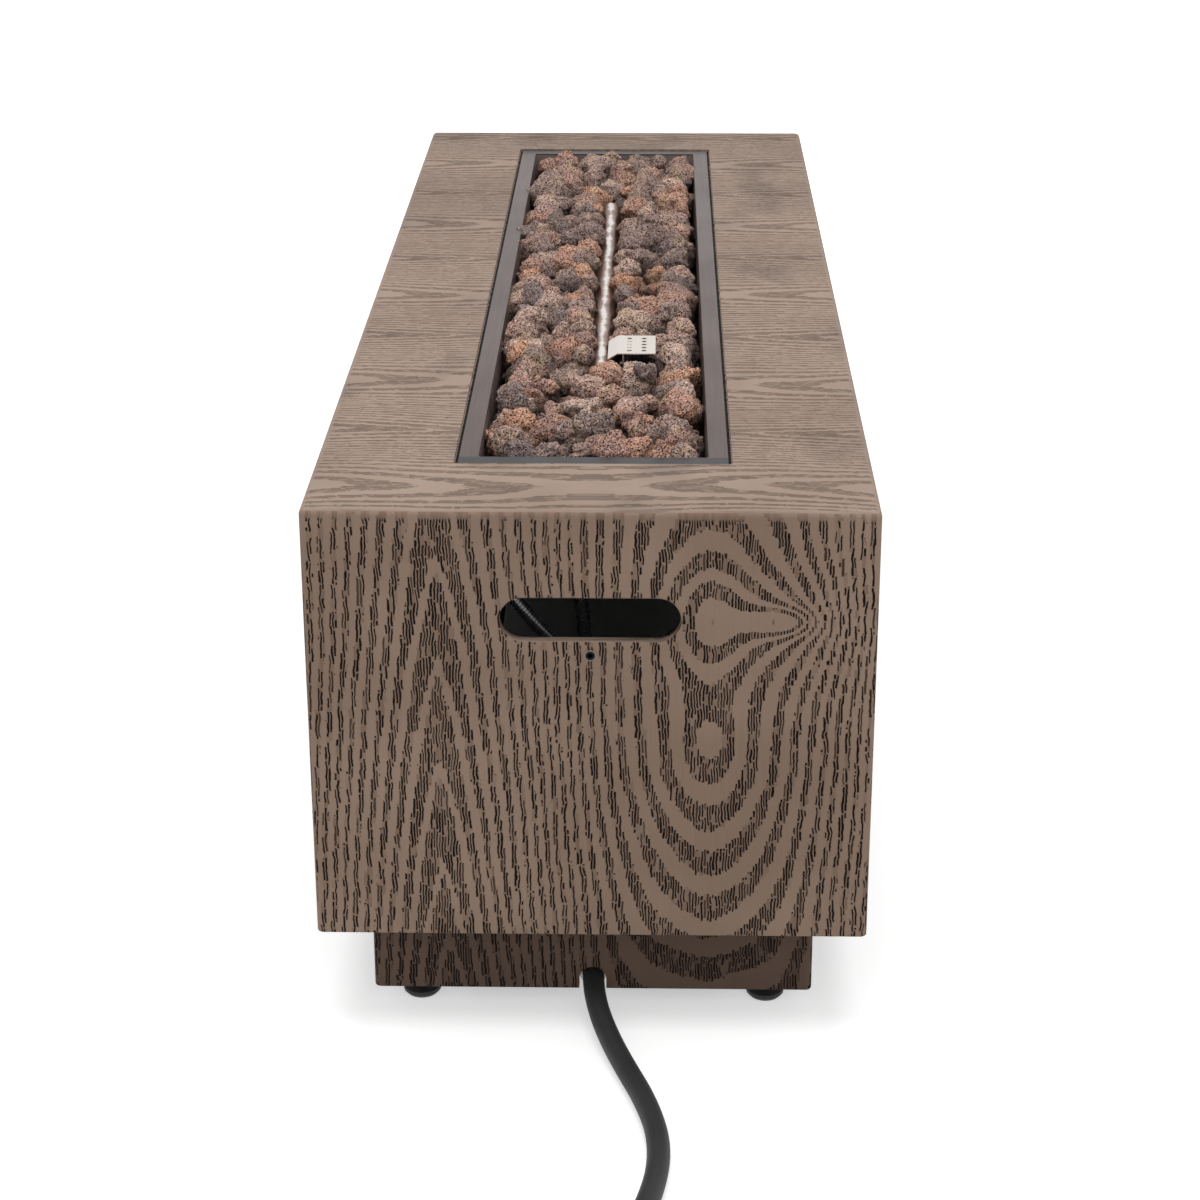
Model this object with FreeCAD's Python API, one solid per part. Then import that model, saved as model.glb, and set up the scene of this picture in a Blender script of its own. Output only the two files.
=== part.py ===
"""A long gas fire pit table: a moulded wood-grain casing on a set-back plinth, a drop-in burner pan with
lava rock, a gas train with its control niche, levelling feet, and a gas hose with a tank regulator.
Millimetres, +Z up, X along the table, the gas hose leaving at the +X end, the controls on the -Y side.
The origin is on the floor under the middle of the table."""
import FreeCAD, Part
import math
import os
import random

V = FreeCAD.Vector
X_AXIS = V(1, 0, 0)
Y_AXIS = V(0, 1, 0)
Z_AXIS = V(0, 0, 1)
PARTS = {}

# Casing and plinth
table_length = 1422.0
table_width = 495.0
body_height = 409.0
plinth_height = 83.0
foot_gap = 18.0
plinth_setback = 45.0
shell_wall = 10.0
top_thickness = 12.0
plinth_wall = 10.0
edge_radius = 6.0
rim_radius = 1.5
inner_corner = 8.0

# Handle slots and the threaded inserts under them
slot_length = 156.0
slot_height = 40.0
slot_below_top = 100.5
slot_edge = 2.0
insert_below_top = 133.5
insert_flange_radius = 5.1
insert_flange_thickness = 0.8
insert_barrel_radius = 4.2
insert_bore_radius = 2.5
insert_length = 13.0

# Cutout in the top, and the burner pan that hangs in it
cutout_length = 1204.0
cutout_width = 248.0
cutout_corner = 3.0
cutout_shift = -8.0
rebate_depth = 3.0
ledge_width = 11.0
pan_gap = 3.5
pan_flange = 17.5
pan_sheet = 1.5
pan_depth = 50.0
pan_draft = 3.0
pan_corner = 3.0
drain_radius = 5.0
drain_count = 10
drain_inset = 60.0
drain_row_y = 64.0

# Burner
burner_radius = 14.0
burner_wall = 1.2
burner_length = 720.0
burner_below_top = 10.0
port_radius = 1.2
port_pitch = 36.0
port_angle = 35.0
cradle_offset = 250.0
cradle_half_width = 15.0
cradle_sheet = 2.0
cradle_foot = 14.0
feed_radius = 10.5
feed_bore = 9.0
feed_flange_radius = 16.0
feed_flange_thickness = 2.0
feed_spigot = 8.0
mixer_radius = 14.0
mixer_length = 42.0
mixer_slot_width = 7.0
mixer_slot_height = 16.0
mixer_slots = 4
orifice_hex = 24.0
orifice_hex_height = 10.0
orifice_nozzle_radius = 5.0
orifice_tip_radius = 2.5
orifice_nozzle_height = 9.0
orifice_throat = 3.0
orifice_bore = 0.9

# Igniter group beside the burner
igniter_from_burner_end = 84.0
shield_length = 60.0
shield_inner_y = 17.0
shield_outer_y = 55.0
shield_lip_y = 7.5
shield_lip_drop = 6.0
shield_above_top = 8.0
shield_sheet = 1.0
shield_fold_inset = 0.3
shield_lip_inset = 0.6
shield_hole_radius = 2.5
shield_hole_pitch = 10.0
shield_holes_per_row = 5
shield_hole_rows = (29.0, 43.5)
bracket_y = 22.0
bracket_width = 36.0
bracket_strip = 4.0
bracket_window_rise = 14.0
bracket_sheet = 1.2
bracket_top_leg = 17.0
bracket_foot_leg = 20.0
bracket_foot_extra = 6.0
electrode_y = 33.0
electrode_spread = 11.0
ceramic_radius = 3.5
ceramic_length = 34.0
ceramic_nose = 3.0
ceramic_nose_wall = 0.8
collar_rim = 2.0
collar_height = 3.0
electrode_wire_radius = 1.2
electrode_rise = 14.0
electrode_bend = 5.0
electrode_reach = 14.0
electrode_tip_rise = 2.0
probe_radius = 3.0
probe_length = 48.0
probe_tip = 3.0
probe_tip_draw = 1.2
below_floor = 12.0

# Lava rock
rock_seed = 11
rock_spacing = 35.0
rock_gap = 0.35
rock_low = 38.0
rock_high = 61.0
rock_facets = 11
rock_channel = 17.5
rock_tries = 9000
rock_size_shares = (0.8, 0.95, 1.0, 1.1, 1.3)
rock_margin_share = 0.42
rock_waist_share = 0.58
rock_reach_share = 3.2
burner_room = 4.0
shield_room = 4.0
electrode_room = 14.0

# Steel frame
base_sheet = 2.0
base_upstand = 24.0
base_corner_gap = 12.0
wall_screw_drop = 9.0
wall_screw_count = 4
wall_screw_pitch = 360.0
end_screw_pitch = 240.0
base_opening_length = 400.0
base_opening_width = 236.0
base_opening_pitch = 440.0
base_opening_corner = 20.0
rail_leg = 30.0
rail_sheet = 3.0
rail_y = 127.5
rail_inset = 40.0
post_size = 25.0
post_wall = 1.5
post_pitch = 540.0
screw_radius = 2.0
screw_head_radius = 3.8
screw_head_height = 2.2
screw_depth = 6.0
screw_clearance = 0.1
cleat_leg = 32.0
cleat_sheet = 3.0
cleat_length = 60.0
cleat_pitch = 800.0
cleat_screw_inset = 19.2
cleat_screw_point = 3.0

# Levelling feet
foot_inset_x = 25.0
foot_inset_y = 42.0
pad_radius = 17.5
pad_base_radius = 14.5
pad_rim_low = 3.5
pad_rim_high = 7.0
pad_neck_radius = 8.0
pad_height = 12.0
stud_radius = 4.0
stud_length = 62.0
stud_sink = 6.0
lock_nut_flats = 13.0
lock_nut_height = 5.0
bracket_plate_sheet = 3.0
bracket_plate_size = 70.0
bracket_plate_rise = 4.0
bracket_plate_upstand = 30.0
bush_radius = 8.0
bush_height = 14.0
thread_clearance = 0.08

# Control niche on the -Y side
panel_from_end = 236.0
panel_above_body = 199.0
niche_length = 160.0
niche_height = 96.0
niche_depth = 26.0
niche_flange = 12.0
niche_sheet = 1.5
niche_sink = 0.3
niche_corner = 5.0
knob_offset = -36.0
button_offset = 38.0
valve_screw_radius = 1.5
valve_screw_head_radius = 2.8
valve_screw_head_height = 1.4
valve_screw_inset = 3.5
valve_screw_depth = 5.0
valve_screw_room = 0.5

# Gas valve and knob
bonnet_radius = 13.0
bonnet_length = 12.0
valve_half = 17.0
valve_depth = 34.0
valve_chamfer = 4.0
boss_radius = 10.0
boss_length = 12.0
gas_bore = 4.5
plug_front_radius = 8.5
plug_back_radius = 7.0
plug_length = 26.0
plug_front_gap = 3.0
plug_clearance = 0.06
plug_end_gap = 0.1
plug_port_radius = 3.6
stem_radius = 3.0
stem_flat = 2.1
stem_clearance = 0.08
stem_in_plug = 14.0
stem_end_gap = 1.5
stem_grip = 0.03
knob_travel = 3.0
knob_gap = 4.5
knob_radius = 19.0
knob_base_radius = 20.5
knob_height = 19.5
knob_skirt = 4.0
knob_skirt_straight = 2.4
knob_taper = 1.5
knob_edge = 1.6
knob_crown = 3.2
knob_wall = 2.2
knob_grooves = 12
knob_groove_radius = 2.6
knob_groove_out = 1.17
knob_hub_radius = 6.0
knob_pointer_width = 2.4
knob_pointer_depth = 0.8
knob_pointer_from = 3.0
knob_pointer_inset = 3.4
plate_hole_clearance = 4.0

# Spark igniter
module_radius = 11.0
module_length = 58.0
module_flange_radius = 14.5
module_flange_height = 2.5
module_nut_flats = 30.0
module_nut_height = 6.0
button_radius = 8.5
button_height = 9.0
button_edge = 1.8
button_plug = 2.5
button_well = 16.0
module_back_wall = 3.0
button_stem_radius = 7.2
button_travel = 4.0
button_clearance = 0.3
battery_radius = 7.0
battery_length = 38.0
battery_pip_radius = 2.5
battery_pip_height = 1.2
terminal_width = 5.0
terminal_length = 7.0
terminal_sheet = 0.8
terminal_spread = 5.0

# Gas lines
flex_radius = 6.0
flare_nut_flats = 19.0
flare_nut_length = 15.0
hose_radius = 10.0
hose_hole_radius = 12.5
hose_hole_rise = 10.5
hose_drop = 2.5
inlet_inset = 46.0
ferrule_radius = 12.5
ferrule_length = 26.0
ferrule_web = 4.0
elbow_hex = 21.6
elbow_hex_length = 12.0
elbow_leg = 16.0
lead_radius = 1.75
probe_line_radius = 1.4
bend_share = 0.45

# Clearances
fit_gap = 0.05
pass_clearance = 0.2
panel_gap = 0.3
turning_gap = 0.08
seat_gap = 0.3

# Coil of spare hose, its ties and the regulator
coil_centre = (1178.0, 126.0)
coil_outer = 121.0
coil_pitch = 20.6
coil_turns_inward = 2.0
coil_climb = 0.5
coil_turns = 3.75
coil_rise = 20.7
coil_start_angle = -98.0
coil_entry_run = 44.0
coil_exit_run = 34.0
tie_angles = (10.0, 110.0)
tie_width = 14.0
tie_thickness = 1.2
tie_clearance = 0.4
tie_corner = 6.0
tie_swing_share = 0.2
crimp_radius = 11.5
crimp_straight = 19.5
regulator_radius = 33.0
regulator_base_height = 20.0
regulator_rim_height = 5.0
regulator_rim = 2.0
regulator_chamfer = 4.0
regulator_cap_height = 14.0
cap_rim_height = 3.0
cap_shoulder_radius = 23.25
cap_shoulder_height = 8.4
cap_top_radius = 12.4
regulator_boss_radius = 9.0
regulator_boss_length = 12.0
nipple_radius = 8.0
nipple_length = 46.0
nipple_bore = 2.5
nipple_collar = 4.0
nipple_collar_rim = 3.0
nipple_nose = 8.0
nipple_tip_radius = 4.8
tank_nut_radius = 21.0
tank_nut_length = 30.0
tank_nut_bore = 16.7
tank_nut_web = 5.0
tank_nut_grooves = 8
tank_nut_groove_radius = 3.4
tank_nut_groove_out = 1.2
tank_nut_edge = 2.0

# Levels and edges that follow from the sizes above
plinth_bottom = foot_gap
body_bottom = plinth_bottom + plinth_height
top_z = body_bottom + body_height
half_x = table_length / 2
half_y = table_width / 2
plinth_x = half_x - plinth_setback
plinth_y = half_y - plinth_setback
rebate_z = top_z - rebate_depth
ceiling_z = top_z - top_thickness
flange_top_z = rebate_z + pan_sheet
pan_floor_top = flange_top_z - pan_depth
pan_floor_bottom = pan_floor_top - pan_sheet
pan_outer_x = cutout_length / 2 - pan_gap
pan_outer_y = cutout_width / 2 - pan_gap
pan_mouth_x = pan_outer_x - pan_flange
pan_mouth_y = pan_outer_y - pan_flange
burner_z = top_z - burner_below_top - burner_radius
igniter_from_centre = burner_length / 2 - igniter_from_burner_end
igniter_x = cutout_shift + igniter_from_centre
base_top_z = body_bottom + base_sheet
slot_z = top_z - slot_below_top
insert_z = top_z - insert_below_top
arch_z = plinth_bottom + hose_hole_rise
hose_z = arch_z - hose_drop
panel_x = half_x - panel_from_end
panel_z = body_bottom + panel_above_body
knob_x = panel_x + knob_offset
button_x = panel_x + button_offset
niche_front = -half_y + niche_sink
niche_floor = niche_front + niche_depth
niche_back = niche_floor + niche_sheet


def block(x0, x1, y0, y1, z0, z1):
    """A box between two corners."""
    return Part.makeBox(x1 - x0, y1 - y0, z1 - z0, V(x0, y0, z0))


def rod(radius, start, end):
    """A round bar between two points."""
    along = V(*end) - V(*start)
    return Part.makeCylinder(radius, along.Length, V(*start), along)


def cone(radius_start, radius_end, start, end):
    """A tapered round bar between two points."""
    along = V(*end) - V(*start)
    return Part.makeCone(radius_start, radius_end, along.Length, V(*start), along)


def arc(first, middle, last):
    return Part.Arc(V(*first), V(*middle), V(*last)).toShape()


def rounded_face(half_a, half_b, corner):
    """A rectangle with round corners in the XY plane, about the origin."""
    a, b, r = half_a - corner, half_b - corner, corner
    k = r * math.sqrt(0.5)
    edges = [
        Part.makeLine(V(-a, -half_b, 0), V(a, -half_b, 0)),
        arc((a, -half_b, 0), (a + k, -b - k, 0), (half_a, -b, 0)),
        Part.makeLine(V(half_a, -b, 0), V(half_a, b, 0)),
        arc((half_a, b, 0), (a + k, b + k, 0), (a, half_b, 0)),
        Part.makeLine(V(a, half_b, 0), V(-a, half_b, 0)),
        arc((-a, half_b, 0), (-a - k, b + k, 0), (-half_a, b, 0)),
        Part.makeLine(V(-half_a, b, 0), V(-half_a, -b, 0)),
        arc((-half_a, -b, 0), (-a - k, -b - k, 0), (-a, -half_b, 0)),
    ]
    return Part.Face(Part.Wire(edges))


def rounded_block(centre, half_a, half_b, corner, z0, z1):
    """An upright block with round corners."""
    face = rounded_face(half_a, half_b, corner)
    face.translate(V(centre[0], centre[1], z0))
    return face.extrude(V(0, 0, z1 - z0))


def side_block(centre, half_a, half_b, corner, y0, y1):
    """A block with round corners whose outline stands in the XZ plane, from y0 to y1."""
    face = rounded_face(half_a, half_b, corner)
    face.rotate(V(0, 0, 0), X_AXIS, 90)
    face.translate(V(centre[0], y0, centre[1]))
    return face.extrude(V(0, y1 - y0, 0))


def end_block(centre, half_a, half_b, corner, x0, x1):
    """A block with round corners whose outline stands in the YZ plane, from x0 to x1."""
    face = rounded_face(half_b, half_a, corner)
    face.rotate(V(0, 0, 0), Y_AXIS, 90)
    face.translate(V(x0, centre[0], centre[1]))
    return face.extrude(V(x1 - x0, 0, 0))


def hexagon(flats, start, end, bore=0.0):
    """A hexagonal bar between two points, with a round bore when one is given."""
    along = V(*end) - V(*start)
    reach = flats / math.sqrt(3)
    points = [V(reach * math.cos(math.radians(60 * i)), reach * math.sin(math.radians(60 * i)), 0)
              for i in range(7)]
    bar = Part.Face(Part.makePolygon(points)).extrude(V(0, 0, along.Length))
    if bore:
        bar = bar.cut(Part.makeCylinder(bore, along.Length))
    bar.Placement = FreeCAD.Placement(V(*start), FreeCAD.Rotation(Z_AXIS, along))
    return bar


def turned(profile, centre, along=Z_AXIS):
    """A solid of revolution. The profile is (radius, height) pairs, the height along the given axis."""
    points = [V(r, 0, h) for r, h in profile]
    face = Part.Face(Part.makePolygon(points + points[:1]))
    solid = face.revolve(V(0, 0, 0), Z_AXIS, 360)
    solid.Placement = FreeCAD.Placement(V(*centre), FreeCAD.Rotation(Z_AXIS, along))
    return solid


def edges_where(shape, test):
    """The edges whose middle point passes the test."""
    return [e for e in shape.Edges if test(e.CenterOfMass, e)]


def keep(name, *solids):
    """Files one or more solids under a node name."""
    PARTS[name] = Part.makeCompound(list(solids)) if len(solids) > 1 else solids[0]


def wall_screw_places():
    """Where the base pan's upstand is screwed to the casing: (point on the wall's inner face, outward)."""
    z = body_bottom + base_upstand - wall_screw_drop
    places = []
    for side in (-1, 1):
        for i in range(wall_screw_count):
            x = (i - (wall_screw_count - 1) / 2) * wall_screw_pitch
            places.append((V(x, side * (half_y - shell_wall), z), V(0, side, 0)))
        for end in (-1, 1):
            places.append((V(side * (half_x - shell_wall), end * end_screw_pitch / 2, z), V(side, 0, 0)))
    return places


def body_shell():
    """The moulded casing: four walls and a top in one piece, open underneath."""
    shell = block(-half_x, half_x, -half_y, half_y, body_bottom, top_z)
    rounded = edges_where(shell, lambda c, e: c.z > body_bottom + 1)
    shell = shell.makeFillet(edge_radius, rounded)
    low = edges_where(shell, lambda c, e: c.z < body_bottom + 0.01)
    shell = shell.makeFillet(rim_radius, low)
    cavity = rounded_block((0, 0), half_x - shell_wall, half_y - shell_wall, inner_corner,
                           body_bottom - 1, ceiling_z)
    shell = shell.cut(cavity)
    cutout = rounded_block((cutout_shift, 0), cutout_length / 2, cutout_width / 2, cutout_corner,
                           rebate_z, top_z + 1)
    mouth = rounded_block((cutout_shift, 0), cutout_length / 2 - ledge_width,
                          cutout_width / 2 - ledge_width, cutout_corner, ceiling_z - 1, rebate_z)
    shell = shell.cut(cutout).cut(mouth)
    for end in (-1, 1):
        inside = end * (half_x - shell_wall - 1)
        outside = end * (half_x + 1)
        slot = end_block((0, slot_z), slot_length / 2, slot_height / 2, slot_height / 2 - 0.01,
                         inside, outside)
        hole = rod(insert_barrel_radius + screw_clearance, (inside, 0, insert_z), (outside, 0, insert_z))
        shell = shell.cut(slot).cut(hole)
        rim = edges_where(shell, lambda c, e: abs(c.x - end * half_x) < 0.01 and abs(c.z - slot_z)
                          < slot_height / 2 + 0.1 and abs(c.y) < slot_length / 2 + 0.1)
        shell = shell.makeFillet(slot_edge, rim)
    outer = -half_y
    rebate = side_block((panel_x, panel_z), niche_length / 2 + niche_flange + pan_sheet / 2,
                        niche_height / 2 + niche_flange + pan_sheet / 2, niche_corner,
                        outer - 1, outer + niche_sheet + niche_sink)
    window = side_block((panel_x, panel_z), niche_length / 2 + niche_sheet + panel_gap,
                        niche_height / 2 + niche_sheet + panel_gap, niche_corner,
                        outer, outer + shell_wall + 1)
    shell = shell.cut(rebate).cut(window)
    for x, z in niche_screw_places():
        floor = outer + niche_sheet + niche_sink
        shell = shell.cut(rod(screw_radius + screw_clearance, (x, floor, z), (x, floor + screw_depth, z)))
    for point, outward in wall_screw_places():
        tip = point + outward * screw_depth
        shell = shell.cut(rod(screw_radius + screw_clearance, tuple(point), tuple(tip)))
    keep("body_shell", shell)


def niche_screw_places():
    """The four screws in the corners of the niche's flange."""
    dx = niche_length / 2 + niche_flange / 2
    dz = niche_height / 2 + niche_flange / 2
    return [(panel_x + i * dx, panel_z + j * dz) for i in (-1, 1) for j in (-1, 1)]


def plinth():
    """The set-back base under the casing: a four-walled frame with an arch for the gas hose."""
    frame = block(-plinth_x, plinth_x, -plinth_y, plinth_y, plinth_bottom, body_bottom)
    upright = edges_where(frame, lambda c, e: abs(c.z - (plinth_bottom + body_bottom) / 2) < 1)
    frame = frame.makeFillet(edge_radius, upright)
    low = edges_where(frame, lambda c, e: c.z < plinth_bottom + 0.01)
    frame = frame.makeFillet(rim_radius, low)
    inside = rounded_block((0, 0), plinth_x - plinth_wall, plinth_y - plinth_wall, rim_radius,
                           plinth_bottom - 1, body_bottom + 1)
    frame = frame.cut(inside)
    start, end = plinth_x - plinth_wall - 1, plinth_x + 1
    arch = rod(hose_hole_radius, (start, 0, arch_z), (end, 0, arch_z))
    below = block(start, end, -hose_hole_radius, hose_hole_radius, plinth_bottom - 1, arch_z)
    frame = frame.cut(arch).cut(below)
    for x, side in cleat_places():
        face = side * (plinth_y - plinth_wall)
        z = body_bottom - cleat_screw_inset
        bore = rod(screw_radius + screw_clearance, (x, face, z), (x, face + side * screw_depth, z))
        frame = frame.cut(bore)
    keep("plinth", frame)


def cleat_places():
    return [(x, side) for x in (-cleat_pitch / 2, cleat_pitch / 2) for side in (-1, 1)]


def base_pan():
    """The folded steel floor of the casing, with three openings for air and service."""
    outer_x, outer_y = half_x - shell_wall, half_y - shell_wall
    sheet = block(-outer_x, outer_x, -outer_y, outer_y, body_bottom, base_top_z)
    ring = block(-outer_x, outer_x, -outer_y, outer_y, base_top_z, body_bottom + base_upstand)
    ring = ring.cut(block(-outer_x + base_sheet, outer_x - base_sheet, -outer_y + base_sheet,
                          outer_y - base_sheet, base_top_z, body_bottom + base_upstand))
    pan = sheet.fuse(ring)
    for sx in (-1, 1):
        for sy in (-1, 1):
            x, y = sx * outer_x, sy * outer_y
            pan = pan.cut(block(min(x, x - sx * base_corner_gap), max(x, x - sx * base_corner_gap),
                                min(y, y - sy * base_corner_gap), max(y, y - sy * base_corner_gap),
                                body_bottom - 1, body_bottom + base_upstand + 1))
    for i in (-1, 0, 1):
        pan = pan.cut(rounded_block((i * base_opening_pitch, 0), base_opening_length / 2,
                                    base_opening_width / 2, base_opening_corner,
                                    body_bottom - 1, base_top_z + 1))
    for point, outward in wall_screw_places():
        inner = point - outward * (base_sheet + 1)
        pan = pan.cut(rod(screw_radius + screw_clearance, tuple(inner), tuple(point + outward)))
    for x, side in cleat_places():
        y = side * (plinth_y - plinth_wall - cleat_screw_inset)
        pan = pan.cut(rod(screw_radius + screw_clearance, (x, y, body_bottom - 1), (x, y, base_top_z + 1)))
    keep("base_pan", pan.removeSplitter())


def pan_head_screw(seat, inward, thickness, depth):
    """A screw whose head sits at `seat` and whose shank goes along `inward` for thickness plus depth."""
    tip = seat + inward * (thickness + depth - screw_clearance)
    head = seat - inward * screw_head_height
    return rod(screw_head_radius, tuple(head), tuple(seat)).fuse(rod(screw_radius, tuple(seat), tuple(tip)))


def frame_parts():
    """Rails under the top, posts between the rails and the base pan, plinth cleats, and their screws."""
    length = cutout_length / 2 + rail_inset
    rails = []
    for side in (-1, 1):
        inner = side * rail_y
        outer = side * (rail_y + rail_leg)
        flat = block(cutout_shift - length, cutout_shift + length, min(inner, outer), max(inner, outer),
                     ceiling_z - rail_sheet, ceiling_z)
        web_face = side * (rail_y + rail_sheet)
        web = block(cutout_shift - length, cutout_shift + length, min(inner, web_face), max(inner, web_face),
                    ceiling_z - rail_leg, ceiling_z - rail_sheet)
        rails.append(flat.fuse(web).removeSplitter())
    keep("cutout_rails", *rails)
    posts = []
    for side in (-1, 1):
        for i in (-1, 0, 1):
            x = i * post_pitch
            y = side * (rail_y + rail_sheet + post_size / 2)
            h = post_size / 2
            post = block(x - h, x + h, y - h, y + h, base_top_z, ceiling_z - rail_sheet)
            post = post.cut(block(x - h + post_wall, x + h - post_wall, y - h + post_wall, y + h - post_wall,
                                  base_top_z, ceiling_z - rail_sheet))
            posts.append(post)
    keep("frame_posts", *posts)
    cleats, screws = [], []
    for x, side in cleat_places():
        face = side * (plinth_y - plinth_wall)
        inner = face - side * cleat_leg
        flat = block(x - cleat_length / 2, x + cleat_length / 2, min(face, inner), max(face, inner),
                     body_bottom - cleat_sheet, body_bottom)
        web_face = face - side * cleat_sheet
        web = block(x - cleat_length / 2, x + cleat_length / 2, min(face, web_face), max(face, web_face),
                    body_bottom - cleat_leg, body_bottom - cleat_sheet)
        cleat = flat.fuse(web).removeSplitter()
        z = body_bottom - cleat_screw_inset
        y = face - side * cleat_screw_inset
        hole_y = rod(screw_radius + screw_clearance, (x, web_face - side, z), (x, face + side, z))
        hole_z = rod(screw_radius + screw_clearance, (x, y, body_bottom - cleat_sheet - 1),
                     (x, y, body_bottom + 1))
        cleats.append(cleat.cut(hole_y).cut(hole_z))
        screws.append(pan_head_screw(V(x, web_face, z), V(0, side, 0), cleat_sheet, screw_depth))
        screws.append(pan_head_screw(V(x, y, body_bottom - cleat_sheet), Z_AXIS, cleat_sheet + base_sheet,
                                      cleat_screw_point))
    keep("plinth_cleats", *cleats)
    for point, outward in wall_screw_places():
        screws.append(pan_head_screw(point - outward * base_sheet, outward, base_sheet, screw_depth))
    keep("frame_screws", *screws)


def inserts():
    """Threaded inserts in the end walls, under the handle slots."""
    nuts = []
    for end in (-1, 1):
        face = end * half_x
        flange = rod(insert_flange_radius, (face, 0, insert_z),
                     (face + end * insert_flange_thickness, 0, insert_z))
        barrel = rod(insert_barrel_radius, (face, 0, insert_z), (face - end * insert_length, 0, insert_z))
        bore = rod(insert_bore_radius, (face + end * (insert_flange_thickness + 1), 0, insert_z),
                   (face - end * (insert_length + 1), 0, insert_z))
        nuts.append(flange.fuse(barrel).cut(bore))
    keep("threaded_inserts", *nuts)


def foot_places():
    return {
        "front_left": (-plinth_x + foot_inset_x, -plinth_y + foot_inset_y),
        "front_right": (plinth_x - foot_inset_x, -plinth_y + foot_inset_y),
        "back_left": (-plinth_x + foot_inset_x, plinth_y - foot_inset_y),
        "back_right": (plinth_x - foot_inset_x, plinth_y - foot_inset_y),
    }


def feet():
    """Four levelling feet: a pad and a stud with its lock nut, and the corner brackets they screw into."""
    brackets = []
    plate_z = plinth_bottom + bracket_plate_rise
    for name, (x, y) in foot_places().items():
        pad = turned([(0, 0), (pad_base_radius, 0), (pad_radius, pad_rim_low), (pad_radius, pad_rim_high),
                      (pad_neck_radius, pad_height), (0, pad_height)], (x, y, 0))
        pad = pad.cut(rod(stud_radius + thread_clearance, (x, y, pad_height - stud_sink),
                          (x, y, pad_height + 1)))
        keep("foot_pad_" + name, pad)
        stud = rod(stud_radius, (x, y, pad_height - stud_sink), (x, y, pad_height - stud_sink + stud_length))
        nut_top = plate_z - panel_gap
        nut = hexagon(lock_nut_flats, (x, y, nut_top - lock_nut_height), (x, y, nut_top))
        keep("foot_stud_" + name, stud.fuse(nut))
        sx, sy = math.copysign(1, x), math.copysign(1, y)
        wall_x, wall_y = sx * (plinth_x - plinth_wall), sy * (plinth_y - plinth_wall)
        far_x, far_y = wall_x - sx * bracket_plate_size, wall_y - sy * bracket_plate_size
        x0, x1 = sorted((wall_x, far_x))
        y0, y1 = sorted((wall_y, far_y))
        plate = block(x0, x1, y0, y1, plate_z, plate_z + bracket_plate_sheet)
        fold_x = sorted((wall_x, wall_x - sx * bracket_plate_sheet))
        fold_y = sorted((wall_y, wall_y - sy * bracket_plate_sheet))
        plate = plate.fuse(block(fold_x[0], fold_x[1], y0, y1, plate_z, plate_z + bracket_plate_upstand))
        plate = plate.fuse(block(x0, x1, fold_y[0], fold_y[1], plate_z, plate_z + bracket_plate_upstand))
        bush = rod(bush_radius, (x, y, plate_z), (x, y, plate_z + bracket_plate_sheet + bush_height))
        plate = plate.fuse(bush).removeSplitter()
        hole = rod(stud_radius + thread_clearance, (x, y, plate_z - 1),
                   (x, y, plate_z + bracket_plate_sheet + bush_height + 1))
        corner_x = sorted((wall_x, wall_x - sx * rim_radius))
        corner_y = sorted((wall_y, wall_y - sy * rim_radius))
        corner = block(*corner_x, *corner_y, plate_z - 1, plate_z + bracket_plate_upstand + 1)
        brackets.append(plate.cut(hole).cut(corner))
    keep("foot_brackets", *brackets)


def burner_pan():
    """The pressed steel pan: a flange on the rebate, drafted walls and a floor with drain holes."""
    def shell_between(inset, z_low, corner):
        top = rounded_face(pan_mouth_x + pan_sheet - inset, pan_mouth_y + pan_sheet - inset, corner).Wires[0]
        low = rounded_face(pan_mouth_x + pan_sheet - inset - pan_draft,
                           pan_mouth_y + pan_sheet - inset - pan_draft, corner).Wires[0]
        top.translate(V(cutout_shift, 0, flange_top_z))
        low.translate(V(cutout_shift, 0, z_low))
        return Part.makeLoft([low, top], True, True)
    flange = rounded_block((cutout_shift, 0), pan_outer_x, pan_outer_y, pan_corner, rebate_z, flange_top_z)
    pan = flange.fuse(shell_between(0, pan_floor_bottom, pan_corner + pan_sheet))
    pan = pan.cut(shell_between(pan_sheet, pan_floor_top, pan_corner))
    pitch = 2 * (pan_mouth_x - drain_inset) / (drain_count - 1)
    for side in (-1, 1):
        for i in range(drain_count):
            x = cutout_shift - pan_mouth_x + drain_inset + i * pitch
            y = side * drain_row_y
            pan = pan.cut(rod(drain_radius, (x, y, pan_floor_bottom - 1), (x, y, pan_floor_top + 1)))
    feed_hole = rod(feed_radius + pass_clearance, (cutout_shift, 0, pan_floor_bottom - 1),
                    (cutout_shift, 0, pan_floor_top + 1))
    pan = pan.cut(feed_hole)
    for dx, radius in ((-electrode_spread, ceramic_radius), (electrode_spread, probe_radius)):
        x = igniter_x + dx
        pan = pan.cut(rod(radius + pass_clearance, (x, electrode_y, pan_floor_bottom - 1),
                          (x, electrode_y, pan_floor_top + 1)))
    keep("burner_pan", pan)


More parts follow.
